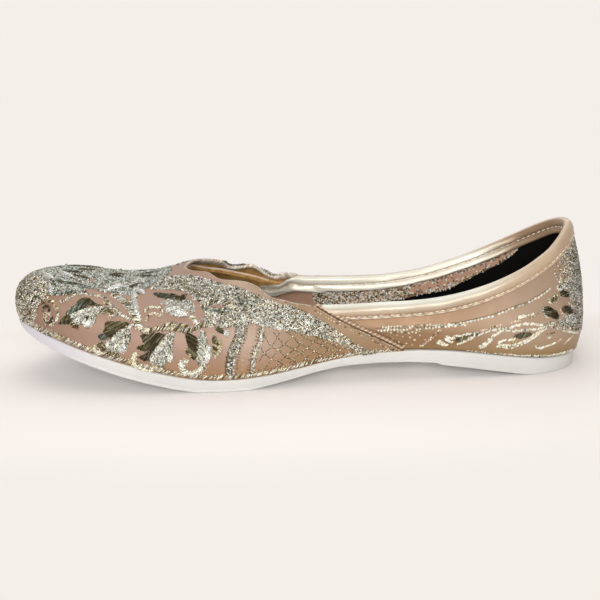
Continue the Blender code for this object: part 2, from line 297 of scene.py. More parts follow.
def tubeFaces(rows, columns, closed, start=0):
    faces = gridFaces(rows, columns, closed, True, start)
    if not closed:
        ends = [[start + row * columns + i for i in range(columns)] for row in (0, rows - 1)]
        faces += [ends[0][::-1], ends[1]]
    return faces


def sweep(name, sections, closed, material):
    # a ring-shaped section carried along; sections is stations x ring x 3
    faces = tubeFaces(*sections.shape[:2], closed)
    return meshPiece(name, sections.reshape(-1, 3), faces, material)


def newMaterial(name):
    material = bpy.data.materials.new(name)
    material.use_nodes = True
    tree = material.node_tree
    return material, tree, tree.nodes["Principled BSDF"]


def makeGroup(name, inputs, outputs):
    group = bpy.data.node_groups.new(name, "ShaderNodeTree")
    for label, value in inputs.items():
        socket = group.interface.new_socket(label, in_out="INPUT", socket_type="NodeSocketFloat")
        socket.default_value = value
    for label in outputs:
        group.interface.new_socket(label, in_out="OUTPUT", socket_type="NodeSocketFloat")
    return group, group.nodes.new("NodeGroupInput").outputs, group.nodes.new("NodeGroupOutput").inputs


def addNode(tree, kind, **values):
    node = tree.nodes.new(kind)
    for key, value in values.items():
        setattr(node, key, value)
    return node


def plug(tree, value, socket):
    if isinstance(value, tuple):
        socket.default_value = (*value, 1) if len(value) == 3 and socket.type == "RGBA" else value
    elif isinstance(value, (int, float)):
        socket.default_value = value
    else:
        tree.links.new(value, socket)


def feed(tree, sockets, values):
    for name, value in values.items():
        plug(tree, value, sockets[name])


def mathNode(tree, operation, *values):
    node = addNode(tree, "ShaderNodeMath", operation=operation)
    feed(tree, node.inputs, dict(enumerate(values)))
    return node.outputs[0]


def mixColour(tree, factor, first, second, blend="MIX"):
    node = addNode(tree, "ShaderNodeMix", data_type="RGBA", blend_type=blend)
    feed(tree, node.inputs, {0: factor, 6: first, 7: second})
    return node.outputs[2]


def mapRange(tree, value, low, high, toLow=0.0, toHigh=1.0, kind="SMOOTHSTEP"):
    node = addNode(tree, "ShaderNodeMapRange", interpolation_type=kind)
    feed(tree, node.inputs, dict(enumerate((value, low, high, toLow, toHigh))))
    return node.outputs["Result"]


def splitPlace(tree, kind="Object"):
    # a place and its x, y and z
    place = addNode(tree, "ShaderNodeTexCoord")
    parts = addNode(tree, "ShaderNodeSeparateXYZ")
    tree.links.new(place.outputs[kind], parts.inputs[0])
    return place.outputs[kind], parts.outputs


def attribute(tree, name, output="Color"):
    return addNode(tree, "ShaderNodeAttribute", attribute_name=name).outputs[output]


def addBump(tree, shader, height, strength, distance):
    bump = addNode(tree, "ShaderNodeBump")
    feed(tree, bump.inputs, {"Strength": strength, "Distance": distance, "Height": height})
    tree.links.new(bump.outputs["Normal"], shader.inputs["Normal"])


def noiseAt(tree, place, scale, detail=3.0, roughness=0.5):
    noise = addNode(tree, "ShaderNodeTexNoise")
    feed(tree, noise.inputs, {"Vector": place, "Scale": scale, "Detail": detail, "Roughness": roughness})
    return noise.outputs["Fac"]


def makeLeatherGrain():
    # fine pebbles, slow patches and faint creases, over object coordinates in metres
    defaults = {"Scale": 1800.0, "Patch": 40.0}
    group, given, results = makeGroup("leatherGrain", defaults, ("Height", "Patches", "Wear"))
    place, _ = splitPlace(group)
    pebble = addNode(group, "ShaderNodeTexVoronoi", feature="SMOOTH_F1")
    feed(group, pebble.inputs, {"Vector": place, "Scale": given["Scale"]})
    crease = noiseAt(group, place, mathNode(group, "MULTIPLY", given["Scale"], 0.35), 4.0)
    worn = noiseAt(group, place, mathNode(group, "MULTIPLY", given["Patch"], 9.0), 5.0, 0.65)
    feed(group, results, {
        "Height": mathNode(group, "MULTIPLY_ADD", crease, 0.8, pebble.outputs["Distance"]),
        "Patches": noiseAt(group, place, given["Patch"]),
        "Wear": mapRange(group, worn, 0.52, 0.72),
    })
    return group


grainGroup = makeLeatherGrain()


def leather(name, finish):
    material, tree, shader = newMaterial(name)
    group = addNode(tree, "ShaderNodeGroup", node_tree=grainGroup)
    feed(tree, group.inputs, {"Scale": finish.get("scale", 1800.0), "Patch": finish.get("patch", 40.0)})
    slow = group.outputs["Patches"]
    colour = mixColour(tree, mapRange(tree, slow, 0.35, 0.65), srgb(*finish["dark"]), srgb(*finish["light"]))
    _, parts = splitPlace(tree)
    for axis, low, high, tint in finish.get("fades", ()):
        fade = mapRange(tree, parts["XYZ".index(axis)], low * mm, high * mm)
        colour = mixColour(tree, fade, srgb(*tint), colour)
    wornShare = mathNode(tree, "MULTIPLY", group.outputs["Wear"], finish.get("wear", 0.15))
    colour = mixColour(tree, wornShare, colour, srgb(*finish["worn"]))
    # the binding's painted highlight and painted shade, kept on its points, multiply its colour
    if finish.get("paintedLightShade"):
        colour = mixColour(tree, 1.0, colour, attribute(tree, "bindingLightShade"), "MULTIPLY")
    rough = finish["roughness"]
    feed(tree, shader.inputs, {
        "Base Color": colour,
        "Roughness": mapRange(tree, slow, 0.3, 0.7, rough + 0.06, rough - 0.06),
        "Specular IOR Level": finish.get("specular", 0.5),
        "Metallic": finish.get("metallic", 0.0),
    })
    addBump(tree, shader, group.outputs["Height"], finish.get("grain", 0.25), 0.0001)
    return material


def clothMaterial(name, finish):
    # plain weave of two crossed sets of yarn, laid along the shoe and up the wall
    material, tree, shader = newMaterial(name)
    place, parts = splitPlace(tree)
    waves = 2 * math.pi / (finish["pitch"] * mm)
    rib = mathNode(tree, "ADD", parts[1], parts[2])
    warp, weft = (mathNode(tree, "SINE", mathNode(tree, "MULTIPLY", way, waves)) for way in (parts[0], rib))
    weave = mathNode(tree, "MULTIPLY", warp, weft)
    slub = noiseAt(tree, place, 260.0, 4.0)
    colour = mixColour(tree, mapRange(tree, slub, 0.35, 0.65), srgb(*finish["dark"]), srgb(*finish["light"]))
    shade = mapRange(tree, weave, -1.0, 1.0, 0.72, 1.0, "LINEAR")
    feed(tree, shader.inputs, {
        "Base Color": mixColour(tree, 1.0, colour, shade, "MULTIPLY"),
        "Roughness": mapRange(tree, slub, 0.3, 0.7, 0.78, 0.62),
    })
    addBump(tree, shader, weave, 0.5, 0.00012)
    return material


def makeCoilRings():
    # fine coil rings across a thread, and slow tarnish along it
    defaults = {"Coil": 0.26, "Gap": 0.72, "Tarnish": 0.8}
    group, given, results = makeGroup("coilRings", defaults, ("Height", "Shade", "Wear"))
    place, _ = splitPlace(group)
    turns = mathNode(group, "DIVIDE", attribute(group, "threadRun", "Fac"), given["Coil"])
    rings = mathNode(group, "SINE", mathNode(group, "MULTIPLY", turns, 2 * math.pi))
    tarnish = mapRange(group, noiseAt(group, place, 900.0, 2.0), 0.4, 0.75, 1.0, given["Tarnish"])
    # the gaps between the rings are darker as painted shade, on top of the tarnish
    between = mapRange(group, rings, -1.0, 1.0, given["Gap"], 1.0, "LINEAR")
    feed(group, results, {
        "Height": rings,
        "Shade": mathNode(group, "MULTIPLY", tarnish, between),
        "Wear": noiseAt(group, place, 1500.0, 2.0),
    })
    return group


coilGroup = makeCoilRings()


def threadMaterial(name, finish):
    # each stitch keeps its own tone
    material, tree, shader = newMaterial(name)
    group = addNode(tree, "ShaderNodeGroup", node_tree=coilGroup)
    feed(tree, group.inputs, {key.title(): finish[key] for key in ("coil", "gap", "tarnish")})
    tone = attribute(tree, "threadTone")
    feed(tree, shader.inputs, {
        "Base Color": mixColour(tree, 1.0, tone, group.outputs["Shade"], "MULTIPLY"),
        "Roughness": mapRange(tree, group.outputs["Wear"], 0.3, 0.7, *finish["roughness"]),
        "Metallic": finish["metallic"],
    })
    addBump(tree, shader, group.outputs["Height"], 0.35, 0.00008)
    return material


# colours are sRGB; each fade is an axis, the two places it runs between in mm, and the colour it starts from
roseLeather = leather("rose_gold_leather", {
    "light": (172, 148, 126), "dark": (160, 136, 114), "roughness": 0.42, "metallic": 0.25, "patch": 30.0,
    "fades": (("X", 56, 98, (140, 109, 78)), ("Z", 5, 20, (142, 114, 65))),
    "worn": (176, 152, 130), "wear": 0.2, "grain": 0.2,
})
# lighter between x -24 and -14 as a painted highlight, fading out by -36 and 0; darker towards the toe,
# behind x 0 and low down
vampLeather = leather("vamp_leather", {
    "light": (176, 153, 134), "dark": (164, 140, 122), "roughness": 0.55, "metallic": 0.12, "patch": 30.0,
    "fades": (("X", -36, -24, (154, 126, 109)), ("X", -108, -84, (142, 113, 95)),
              ("X", 0, -14, (150, 123, 93)), ("Z", 4, 20, (152, 114, 78))),
    "worn": (178, 152, 134), "wear": 0.2, "grain": 0.25,
})
bindingLeather = leather("champagne_binding", {
    "light": (246, 244, 240), "dark": (236, 232, 226), "roughness": 0.38, "metallic": 0.22, "patch": 45.0,
    "worn": (214, 200, 190), "wear": 0.25, "grain": 0.3, "paintedLightShade": True,
})
# a black lining whose near-black is also painted deep shade inside the shoe
blackLiningAndShade = leather("black_lining_and_shade", {
    "light": (10, 9, 8), "dark": (5, 5, 4), "roughness": 0.85, "scale": 1200.0,
    "worn": (18, 17, 15), "specular": 0.15,
})
# its toe runs cooler and darker as painted shade, where the sole turns up and away from the light
soleWhite = leather("sole_white", {
    "light": (208, 207, 204), "dark": (200, 200, 198), "roughness": 0.45, "grain": 0.06, "patch": 25.0,
    "fades": (("X", -112, -74, (200, 198, 206)),), "worn": (190, 188, 184), "wear": 0.15,
})
roseLining = leather("rose_lining", {
    "light": (224, 180, 154), "dark": (206, 162, 136), "roughness": 0.5, "metallic": 0.1, "patch": 60.0,
    "worn": (160, 124, 108), "wear": 0.3, "grain": 0.3,
})
paleEdge = leather("pale_edge", {
    "light": (238, 222, 204), "dark": (224, 204, 184), "roughness": 0.4, "patch": 60.0,
    "worn": (196, 170, 150),
})
ochreCloth = clothMaterial("ochre_lining", {"pitch": 0.55, "light": (236, 190, 120), "dark": (206, 158, 90)})
zariThread = threadMaterial("zari_thread", {
    "coil": 0.26, "gap": 0.72, "tarnish": 0.8, "roughness": (0.34, 0.22), "metallic": 0.85,
})
whipThread = threadMaterial("whip_thread", {
    "coil": 0.3, "gap": 0.85, "tarnish": 0.85, "roughness": (0.5, 0.4), "metallic": 0.25,
})
seamThread = threadMaterial("seam_thread", {
    "coil": 0.5, "gap": 0.9, "tarnish": 0.92, "roughness": (0.6, 0.5), "metallic": 0.0,
})
ropeThread = threadMaterial("rope_thread", {
    "coil": 0.3, "gap": 0.75, "tarnish": 0.85, "roughness": (0.4, 0.3), "metallic": 0.6,
})
print("materials made")


def halfRound(middle, outer, normal, half, steps):
    # the half round that closes a wall's edge
    turn = np.linspace(0, np.pi, steps + 2)[None, 1:-1, None]
    climb = unit(outer[:, -1:] - outer[:, -2:-1])
    return middle + (normal[:, -1:] * np.cos(turn) + climb * np.sin(turn)) * half


def makeUpper():
    form = {"front": 110, "back": 90, "levels": 28, "rim": 7, "bareFrom": 4, "ochreTo": -15}
    where = wholeRound(form["front"], form["back"])
    half = last["wall"] / 2
    share = np.linspace(0, 1, form["levels"])
    outer, normal = face(where, share[None, :] * (underTotals(where) - half)[:, None])
    rim = halfRound(outer[:, -1:] - normal[:, -1:] * half, outer, normal, half, form["rim"])
    inner = (outer - normal * last["wall"])[:, ::-1]
    sections = np.concatenate([outer, rim, inner], axis=1)
    piece = sweep("upper_leather", sections, True, roseLeather)
    columns = sections.shape[1]
    around = np.arange(len(piece.data.polygons)) % columns
    topX = np.repeat(topCurve(where)[:, 0], columns)
    # 0 outer leather, 1 black lining, its near-black also painted deep shade, 2 pale edge, 3 ochre cloth
    kinds = np.where(around >= form["levels"] + form["rim"], 1, np.where(around >= form["levels"] - 2, 2, 0))
    kinds[(kinds == 2) & (topX >= form["bareFrom"])] = 0
    kinds[(kinds == 2) & (topX > form["ochreTo"])] = 3
    kinds[(around >= form["levels"] + 4) & (topX < form["bareFrom"])] = 3
    paintFaces(piece, kinds, blackLiningAndShade, paleEdge, ochreCloth)
    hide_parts("upper")


def makeVamp():
    form = {"stations": 150, "levels": 44, "edge": 5, "low": 0.3}
    where = bothWays(seamWay, form["stations"])
    half = last["vamp"] / 2
    share = np.linspace(0, 1, form["levels"])
    heights = form["low"] + share[None, :] * (ribTotals(where) - half - form["low"])[:, None]
    points, normal = face(where, heights)
    outer = points + normal * (last["fit"] + last["vamp"])
    inner = points + normal * last["fit"]
    edge = halfRound((outer[:, -1:] + inner[:, -1:]) / 2, outer, normal, half, form["edge"])
    sections = np.concatenate([outer, edge, inner[:, ::-1]], axis=1)
    piece = sweep("vamp_ground", sections, False, vampLeather)
    around = np.arange(len(piece.data.polygons)) % sections.shape[1]
    paintFaces(piece, around >= form["levels"] + form["edge"], ochreCloth)
    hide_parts("vamp_overlay")


# down the sole's side: share of the height, how far out as a plain part, and as a share of the lip
soleSide = (
    (-0.02, -1.6, 0), (-0.01, -0.8, 0), (0.015, -0.3, 0), (0.06, -0.05, 0), (0.14, 0.03, 0), (0.3, 0.12, 0),
    (0.5, 0.16, 0), (0.68, 0.08, 0), (0.77, 0.0, 0), (0.795, 0.0, 0.25), (0.815, 0.0, 0.85), (0.84, 0.02, 1),
    (0.9, 0.03, 1.05), (0.95, -0.02, 1), (0.985, -0.22, 0.9), (1.0, -0.6, 0.8), (1.0, -1.6, 0.4),
)
# along the sole: x, its lowest line's height, how far it stands past the foot, how far its lip stands out
soleTable = (
    (-122.8, 25.2, 1.0, 0.1), (-117.0, 22.2, 1.2, 0.1), (-110.0, 18.8, 1.2, 0.1), (-99.0, 14.6, 1.3, 0.1),
    (-87.6, 10.8, 1.3, 0.1), (-76.0, 7.2, 1.3, 0.1), (-65.0, 4.3, 1.3, 0.1), (-53.5, 1.7, 1.3, 0.1),
    (-44.0, 0.0, 1.3, 0.1), (-22.0, 0.0, 1.3, 0.15), (-9.0, 2.4, 1.2, 0.3), (6.0, 5.2, 1.0, 0.4),
    (16.5, 6.4, 0.9, 0.4), (32.0, 6.9, 0.8, 0.4), (47.0, 6.8, 0.8, 0.4), (57.4, 6.3, 0.8, 0.4),
    (59.6, 5.2, 0.8, 0.0), (70.0, 4.0, 0.8, 0.0), (86.0, 1.7, 0.6, 0.0), (97.0, 0.0, 0.3, 0.0),
    (121.5, 0.0, 0.0, 0.0),
)


def makeOutsole():
    form = {"front": 150, "back": 120, "lift": 0.3}
    where = wholeRound(form["front"], form["back"])
    edge = footCurve(where)
    out = outwardOf(footCurve, where)
    table = np.array(soleTable)
    under, margin, lip = (np.interp(edge[:, 0], table[:, 0], table[:, i]) for i in (1, 2, 3))
    above = edge[:, 2] - form["lift"]
    rings = []
    for down, plain, ofLip in soleSide:
        ring = edge + out * (margin + plain + ofLip * lip)[:, None]
        ring[:, 2] = above + (under - above) * down
        rings.append(ring)
    grid = np.stack(rings, axis=1)
    rows, columns = grid.shape[:2]
    faces = gridFaces(rows, columns, True, False)
    # flat strips from side to side close its top and its underside
    for column, turned in ((0, True), (columns - 1, False)):
        for i in range(rows // 2):
            corner = list(dict.fromkeys([i, i + 1, (rows - i - 1) % rows, (rows - i) % rows]))
            if len(corner) > 2:
                quad = [c * columns + column for c in corner]
                faces.append(quad if turned else quad[::-1])
    piece = meshPiece("outsole_moulded", grid.reshape(-1, 3), faces, soleWhite)
    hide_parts("outsole")


# the collar binding's section: how far below the edge along the wall, how far out from the wall's outer face
bindingShape = (
    (6.3, 0.25), (6.62, 0.6), (6.5, 1.1), (6.0, 1.36), (5.5, 1.1), (5.1, 0.92), (4.6, 1.15), (3.9, 1.62),
    (2.9, 1.98), (1.8, 2.12), (0.8, 2.0), (-0.1, 1.7), (-0.9, 1.15), (-1.45, 0.35), (-1.68, -0.6),
    (-1.6, -1.5), (-1.2, -2.25), (-0.4, -2.65), (0.8, -2.95), (1.7, -3.05), (2.4, -3.0), (3.2, -3.45),
    (4.2, -3.9), (5.2, -4.2), (6.0, -4.25), (6.6, -3.85), (6.85, -3.0), (6.5, -1.95), (4.5, -1.9),
    (2.0, -1.9), (-0.1, -1.9), (-0.35, -1.2), (-0.3, -0.3), (0.2, 0.2), (3.0, 0.22), (5.0, 0.22),
)
binding = {
    "from": -19.6, "stations": 560, "finer": 2, "pucker": 5.3,
    "pipe": 0.34, "groove": 0.4, "wrinkle": 0.2, "hole": 0.35,
    # how far below the edge each lies and how wide it is: the seam's groove, the piping, the pull above it,
    # the inner seam, the split where the fold leaves the edge
    "ridges": ((5.05, 0.7), (6.1, 0.6), (3.6, 1.2), (2.4, 0.6), (1.3, 0.9)),
    # slow waves: size, length, start
    "drift": ((0.25, 31.0, 0), (0.2, 11.7, 1)),
    # creases at its front ends: size, length, tilt; fine folds all along: the same, and their swells' length
    "creases": ((0.3, 2.3, 0.8), (0.25, 4.1, -1.2)), "folds": (0.1, 2.9, 0.7, 17.3),
    # against the outer stitches: how many holes to a pucker, and where they start
    "holeTurns": (1.06, 0.7), "puckerRound": 0.55,
    # out from the wall: where its outer roll begins, and its inner wall side
    "outTop": 0.22, "wallFace": -1.95,
    # the span of its shape below the edge, read as a share along the led fold
    "foldFrom": -1.6, "foldDeep": 8.45,
    # how wide it is, against its edge's x
    "breadth": (-12, 0.68, -4, 0.9, 10, 0.88, 40, 0.84, 66, 0.8, 88, 0.74, 105, 0.7, 118, 0.74),
    "innerBreadth": (10, 0.73, 34, 0.63, 53, 0.58, 73, 0.6, 92, 0.67, 105, 0.7, 118, 0.74),
    # how flat its outer roll lies, and how far each side stands above the wall's edge
    "flatter": (70, 1, 98, 0.62, 118, 0.55),
    "riseFar": (0, 0.1, 37, 0.6, 57, 1.3, 70, 1.8, 92, 2, 104, 1.6, 112, 1.1, 117, 1.1),
    "riseNear": (6, -1.2, 20, -0.8, 34, -0.2, 50, -0.4, 80, -0.9, 95, -1.1, 106, -1, 113, 0.2, 117, 1.1),
    # forward of the seam its inner fold leaves the edge: how deep its top and its lower side lie
    "foldTop": (-23, 19, -20.6, 15, -18.4, 11.4, -15.3, 9.2, -11.9, 7.6, -9.5, 4.8, -7.5, 2.4, -5.1, 0.8,
        -1.9, -0.5, 0.5, -1.2, 10, -1.5),
    "foldLow": (-23, 20.5, -20.6, 18, -18.2, 16.8, -15.5, 16.2, -11.4, 12.6, -6.5, 8.8, -0.7, 7.2, 5.4, 5.6,
        10, 4.9),
    # tones painted along it: the leather's own on the flank; painted highlight on the crown and on the
    # piping's bulges; painted shade on the lower flank, in the groove, in the inner stitch holes, in the
    # split, towards the heel, inside the heel and on the far roll's back; the inner fold painted near white
    # as painted light
    "flank": (205, 194, 178), "lowFlankShade": (192, 172, 150), "crown": (224, 227, 219), "seam": (176, 148, 122),
    "dashHighlight": (240, 232, 216), "inside": (255, 252, 240), "insideHoleShade": (206, 182, 158),
    "split": (176, 140, 116), "heel": (196, 172, 146), "heelInsideShade": (150, 122, 92),
    "farEdgeShade": (176, 162, 146),
}


def catmull(p0, p1, p2, p3, t):
    return p1 + t / 2 * (p2 - p0 + t * (2 * p0 - 5 * p1 + 4 * p2 - p3 + t * (3 * (p1 - p2) + p3 - p0)))


def roundedLoop(points, finer):
    # a smooth closed loop through the points, with this many steps between each pair
    rings = [np.roll(np.array(points, float), shift, axis=0)[:, None] for shift in (1, 0, -1, -2)]
    return catmull(*rings, np.arange(finer)[None, :, None] / finer).reshape(-1, 2)


def rimFrames(where):
    lines = ribLines(where)
    total = alongRibs(lines)[:, -1] - underCut(where)
    rim = atHeights(lines, total[:, None])[:, 0]
    climb = unit(rim - atHeights(lines, total[:, None] - last["slopeStep"])[:, 0])
    along = unit(np.gradient(rim, axis=0))
    return total, climb, along, wayAlong(rim)


def wallSection(where, below, out):
    # points below the edge follow the wall, and those above it stand square to it
    total, climb, along, _ = rimFrames(where)
    square = np.linalg.norm(np.cross(climb, along), axis=1)
    wanted = total[:, None] - np.maximum(below, 0) / square[:, None]
    points, normal = face(where, wanted)
    _, atRim = face(where, total[:, None])
    upright = np.cross(along, atRim[:, 0])
    upright *= np.sign(np.sum(upright * climb, axis=1))[:, None]
    above = np.maximum(-below, 0)[:, :, None] * upright[:, None]
    return points + above + normal * out[:, :, None], normal


def softStep(values, low, high):
    t = np.clip((values - low) / (high - low), 0, 1)
    return t * t * (3 - 2 * t)


def paintOver(tone, share, colour):
    return tone + share[..., None] * (np.array(srgb(*colour)) - tone)


def ridge(values, at, width):
    return np.exp(-((values - at) / width) ** 2)


def foldSides(edgeX):
    return follow(edgeX, binding["foldTop"]), follow(edgeX, binding["foldLow"])


def riseOf(edgeX, farSide):
    return np.where(farSide, follow(edgeX, binding["riseFar"]), follow(edgeX, binding["riseNear"]))


def makeBinding():
    # outside it ends at the vamp's seam; its inner fold runs on forward under the vamp
    first = whereIs(binding["from"], topCurve)
    where = spread(first, wholeWay - first, binding["stations"])
    way = rimFrames(where)[-1][:, None]
    edgeX = topCurve(where)[:, 0][:, None]
    farSide = (where > wholeWay / 2)[:, None]
    loop = roundedLoop(bindingShape, binding["finer"])
    below, out = (np.repeat(loop[None, :, i], len(where), axis=0) for i in (0, 1))
    outer, inner = loop[None, :, 1] > 0.4, loop[None, :, 1] < -2.4
    groove, pipe, pull, dimple, split = (ridge(below, *place) for place in binding["ridges"])
    # puckers between the outer stitches, and holes along the inner ones
    phase = np.pi * way / binding["pucker"]
    drift = sum(size * np.sin(way / length + start) for size, length, start in binding["drift"])
    bulge = np.abs(np.sin(phase + drift)) ** binding["puckerRound"]
    turns, begin = binding["holeTurns"]
    holes = 1 - np.minimum(1, np.abs(np.sin(phase * turns + begin)) * 2.0)
    shift = outer * (pipe * binding["pipe"] * (bulge - 0.6) - groove * binding["groove"] * (1.25 - bulge))
    shift = shift + outer * pull * binding["wrinkle"] * (bulge - 0.7)
    shift = shift + inner * dimple * (0.25 + binding["hole"] * holes)
    size, length, tilt, swells = binding["folds"]
    folds = size * np.sin(way / length + below * tilt) * np.sin(way / swells)
    shift = shift + np.sign(out - 0.2) * folds * (np.abs(out + 0.8) > 1.3)
    # soft creases where the fold narrows at the front
    start = np.minimum(way, way[-1] - way)
    front = 1 - softStep(start, 12.0, 30.0)
    crease = sum(size * np.sin(start / length + below * tilt) for size, length, tilt in binding["creases"])
    split = split * (1 - softStep(edgeX, -12.0, 2.0))
    shift = shift + inner * (front * crease + split * 0.6)
    # painted light and shade by place on the binding, from the tones listed with it
    tone = np.tile(np.array(srgb(*binding["flank"])), (*below.shape, 1))
    for share, colour in (
        (softStep(below, 1.2, 4.4) * outer, "lowFlankShade"),
        ((1 - softStep(below, -1.0, 1.6)) * (out > -2.4), "crown"),
        (groove * (1.15 - 0.5 * bulge) * outer, "seam"),
        (pipe * softStep(bulge, 0.55, 0.95) * outer * 0.9, "dashHighlight"),
        (softStep(-out, 1.6, 2.6), "inside"),
        (inner * dimple * (0.1 + 0.8 * holes), "insideHoleShade"),
        (inner * split * 0.4, "split"),
        (softStep(edgeX, 60.0, 100.0) * 0.85 * (out > -2.0), "heel"),
        (softStep(edgeX, 76.0, 102.0) * 0.95 * softStep(-out, 0.8, 2.0), "heelInsideShade"),
        (farSide * softStep(out, -1.3, -0.5) * (below < 1.0) * 0.8, "farEdgeShade"),
    ):
        tone = paintOver(tone, share, binding[colour])
    # set to its breadth and height along the shoe
    out = out + shift
    top, wallFace = binding["outTop"], binding["wallFace"]
    out = np.where(out > top, top + (out - top) * follow(edgeX, binding["flatter"]), out)
    scale, innerScale = (follow(edgeX, binding[name]) for name in ("breadth", "innerBreadth"))
    inside = out < -1.0
    folded = (below - binding["foldFrom"]) / binding["foldDeep"]
    below = np.where(below > 0, below * np.where(inside, innerScale, scale), below * (0.6 + 0.4 * scale))
    below = below - riseOf(edgeX, farSide)
    seamTurn = np.minimum(where - seamWay, wholeWay - seamWay - where)[:, None]
    # on the far side the crown rises out of the throat sooner than the outer flank
    late = (out > 0.3) | ~farSide
    under = 1 - softStep(seamTurn, np.where(late, 0.3, -26.0), np.where(late, 1.8, -12.0))
    below = below + under * (np.maximum(below, 0.5) - below)
    foldTop, foldLow = foldSides(edgeX)
    led = foldTop + (foldLow - foldTop) * folded - underCut(where)[:, None]
    led = led + 2.2 * ~farSide * (1 - softStep(edgeX, 3.0, 6.0))
    below = below + inside * (1 - softStep(edgeX, 1.0, 9.0)) * (led - below)
    out = out + under * (np.minimum(out, wallFace) - out)
    thin = softStep(start, -0.5, 4.0)
    out = np.where(out < wallFace, wallFace + (out - wallFace) * (0.25 + 0.75 * thin), out)
    sections, _ = wallSection(where, below, out)
    piece = sweep("collar_binding_padded", sections, False, bindingLeather)
    paintPoints(piece.data, "bindingLightShade", np.clip(tone.reshape(-1, 3), 0, 1))
    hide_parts("collar_binding")


makeUpper()
makeVamp()
makeOutsole()
makeBinding()
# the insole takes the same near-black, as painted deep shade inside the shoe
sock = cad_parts["insole"].data.materials
sock.clear()
sock.append(blackLiningAndShade)
print("forms made")

# ropes and linings
edgeRope = {
    "low": 1.6, "radius": 0.42, "wind": 0.4, "pitch": 1.9, "stations": 260, "sides": 7, "strands": 2,
    "tones": ((232, 208, 180), (188, 158, 130)),
}


def ropeSections(centre, first, second):
    # ring sections for each strand that winds round the centre line
    way = wayAlong(centre)
    sides, strands = edgeRope["sides"], edgeRope["strands"]
    ringTurn = np.linspace(0, 2 * np.pi, sides, endpoint=False)[None, :, None]
    found = []
    for strand in range(strands):
        turn = (2 * np.pi * (way / edgeRope["pitch"] + strand / strands))[:, None]
        line = centre + (first * np.cos(turn) + second * np.sin(turn)) * edgeRope["wind"]
        ahead = unit(np.gradient(line, axis=0))
        side = unit(np.cross(ahead, second))
        upward = np.cross(side, ahead)
        ring = side[:, None] * np.cos(ringTurn) + upward[:, None] * np.sin(ringTurn)
        found.append(line[:, None] + ring * edgeRope["radius"])
    return found, way


def paintRun(mesh, tone, run):
    paintPoints(mesh, "threadTone", tone)
    along = mesh.attributes.new("threadRun", "FLOAT", "POINT")
    along.data.foreach_set("value", run.astype(np.float32))


def makeEdgeRopes():
    reach = edgeRope["radius"] + edgeRope["wind"]
    strands = edgeRope["strands"]
    for name, where, side in (("left", seamWay, 1), ("right", wholeWay - seamWay, -1)):
        station = np.full(1, where)
        high = ribTotals(station)[0] - reach * 0.6
        wall, normal = face(station, np.linspace(edgeRope["low"], high, edgeRope["stations"])[None, :])
        wall, normal = wall[0], normal[0]
        behind = np.cross(unit(np.gradient(wall, axis=0)), normal) * side
        centre = wall + behind * (last["fit"] + reach * 0.9) + normal * (last["fit"] + reach * 0.9)
        found, way = ropeSections(centre, behind, normal)
        faces = []
        for i, sections in enumerate(found):
            faces += tubeFaces(*sections.shape[:2], False, i * len(way) * edgeRope["sides"])
        points = np.concatenate([sections.reshape(-1, 3) for sections in found])
        piece = meshPiece("vamp_edge_rope_" + name, points, faces, ropeThread)
        shine = np.repeat([srgb(*tone) for tone in edgeRope["tones"]], len(points) // strands, axis=0)
        paintRun(piece.data, shine, np.tile(np.repeat(way, edgeRope["sides"]), strands))
        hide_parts("vamp_edge_cord_" + name)


def wallSheet(name, where, lows, highs, material):
    # a thin closed sheet just inside the upper's wall, from lows to highs along each rib
    share = np.linspace(0, 1, linings["levels"])
    points, normal = face(where, lows[:, None] + share[None, :] * (highs - lows)[:, None])
    outer = points - normal * (last["wall"] + linings["offset"])
    inner = points - normal * (last["wall"] + linings["offset"] + linings["thick"])
    sections = np.concatenate([outer, inner[:, ::-1]], axis=1)
    return sweep(name, sections, False, material)


linings = {
    # the rose lining's ends and the ochre one's, as their top edge's x
    "roseFrom": -16.6, "roseTo": 104.0, "ochreTo": 5.0,
    # where the rose lining ends above the black wall, against the same x
    "roseLow": (-20, 17, 6, 18.6, 30, 21, 51, 24.2, 63, 25.6, 74, 30, 90, 37, 98, 42.6, 104, 50.6),
    "ochreDeep": 20.0, "offset": 0.12, "thick": 0.25, "levels": 14,
}


def liningLow(where):
    # how far up each rib its inner face reaches the rose lining's lower edge
    lines = ribLines(where)
    along = alongRibs(lines)
    level = follow(topCurve(where)[:, 0], linings["roseLow"])
    return np.array([np.interp(level[i], lines[i, :, 2], along[i]) for i in range(len(where))])


def behindFold(where):
    # halfway down the binding's inner fold, forward of the seam
    foldTop, foldLow = foldSides(topCurve(where)[:, 0])
    return alongRibs(ribLines(where))[:, -1] - (foldTop + foldLow) / 2


def makeLinings():
    near = spread(whereIs(linings["roseFrom"], topCurve), whereIs(linings["roseTo"], topCurve), 110)
    for side, where in (("left", near), ("right", (wholeWay - near)[::-1])):
        high = np.minimum(underTotals(where) - 1.3, behindFold(where))
        low = np.minimum(liningLow(where), high - 0.6)
        wallSheet("quarter_lining_" + side, where, low, high, roseLining)
    where = bothWays(whereIs(linings["ochreTo"], topCurve), 80)
    high = underTotals(where) - 0.7
    hidden = np.where(topCurve(where)[:, 0] < linings["roseFrom"] - 0.2, 0, behindFold(where) + 0.1)
    low = np.minimum(high - 0.4, np.maximum(high - linings["ochreDeep"], hidden))
    wallSheet("vamp_lining", where, low, high, ochreCloth)


liningGlitter = {
    # how many on each side, and each stitch's width, lengths, arch and how far it stands off the lining
    "count": 1700, "width": 0.62, "lengths": (0.8, 1.5), "arch": 0.25, "off": 0.15,
    # as top edge's x: its two ends, and where it begins to gather near the lining's edges
    "ends": (-8.0, 103.0), "gathers": 46,
    "tones": dict(white=2.6, cream=2.4, light=1.4, brown=1.8, olive=1.6, gold=0.8, deepBrown=1),
    # the share kept, against the top edge's x
    "dense": (5, 0.95, 30, 0.9, 44, 0.6, 60, 0.4, 98, 0.3, 103, 0),
}


makeEdgeRopes()
makeLinings()
print("ropes and linings made")

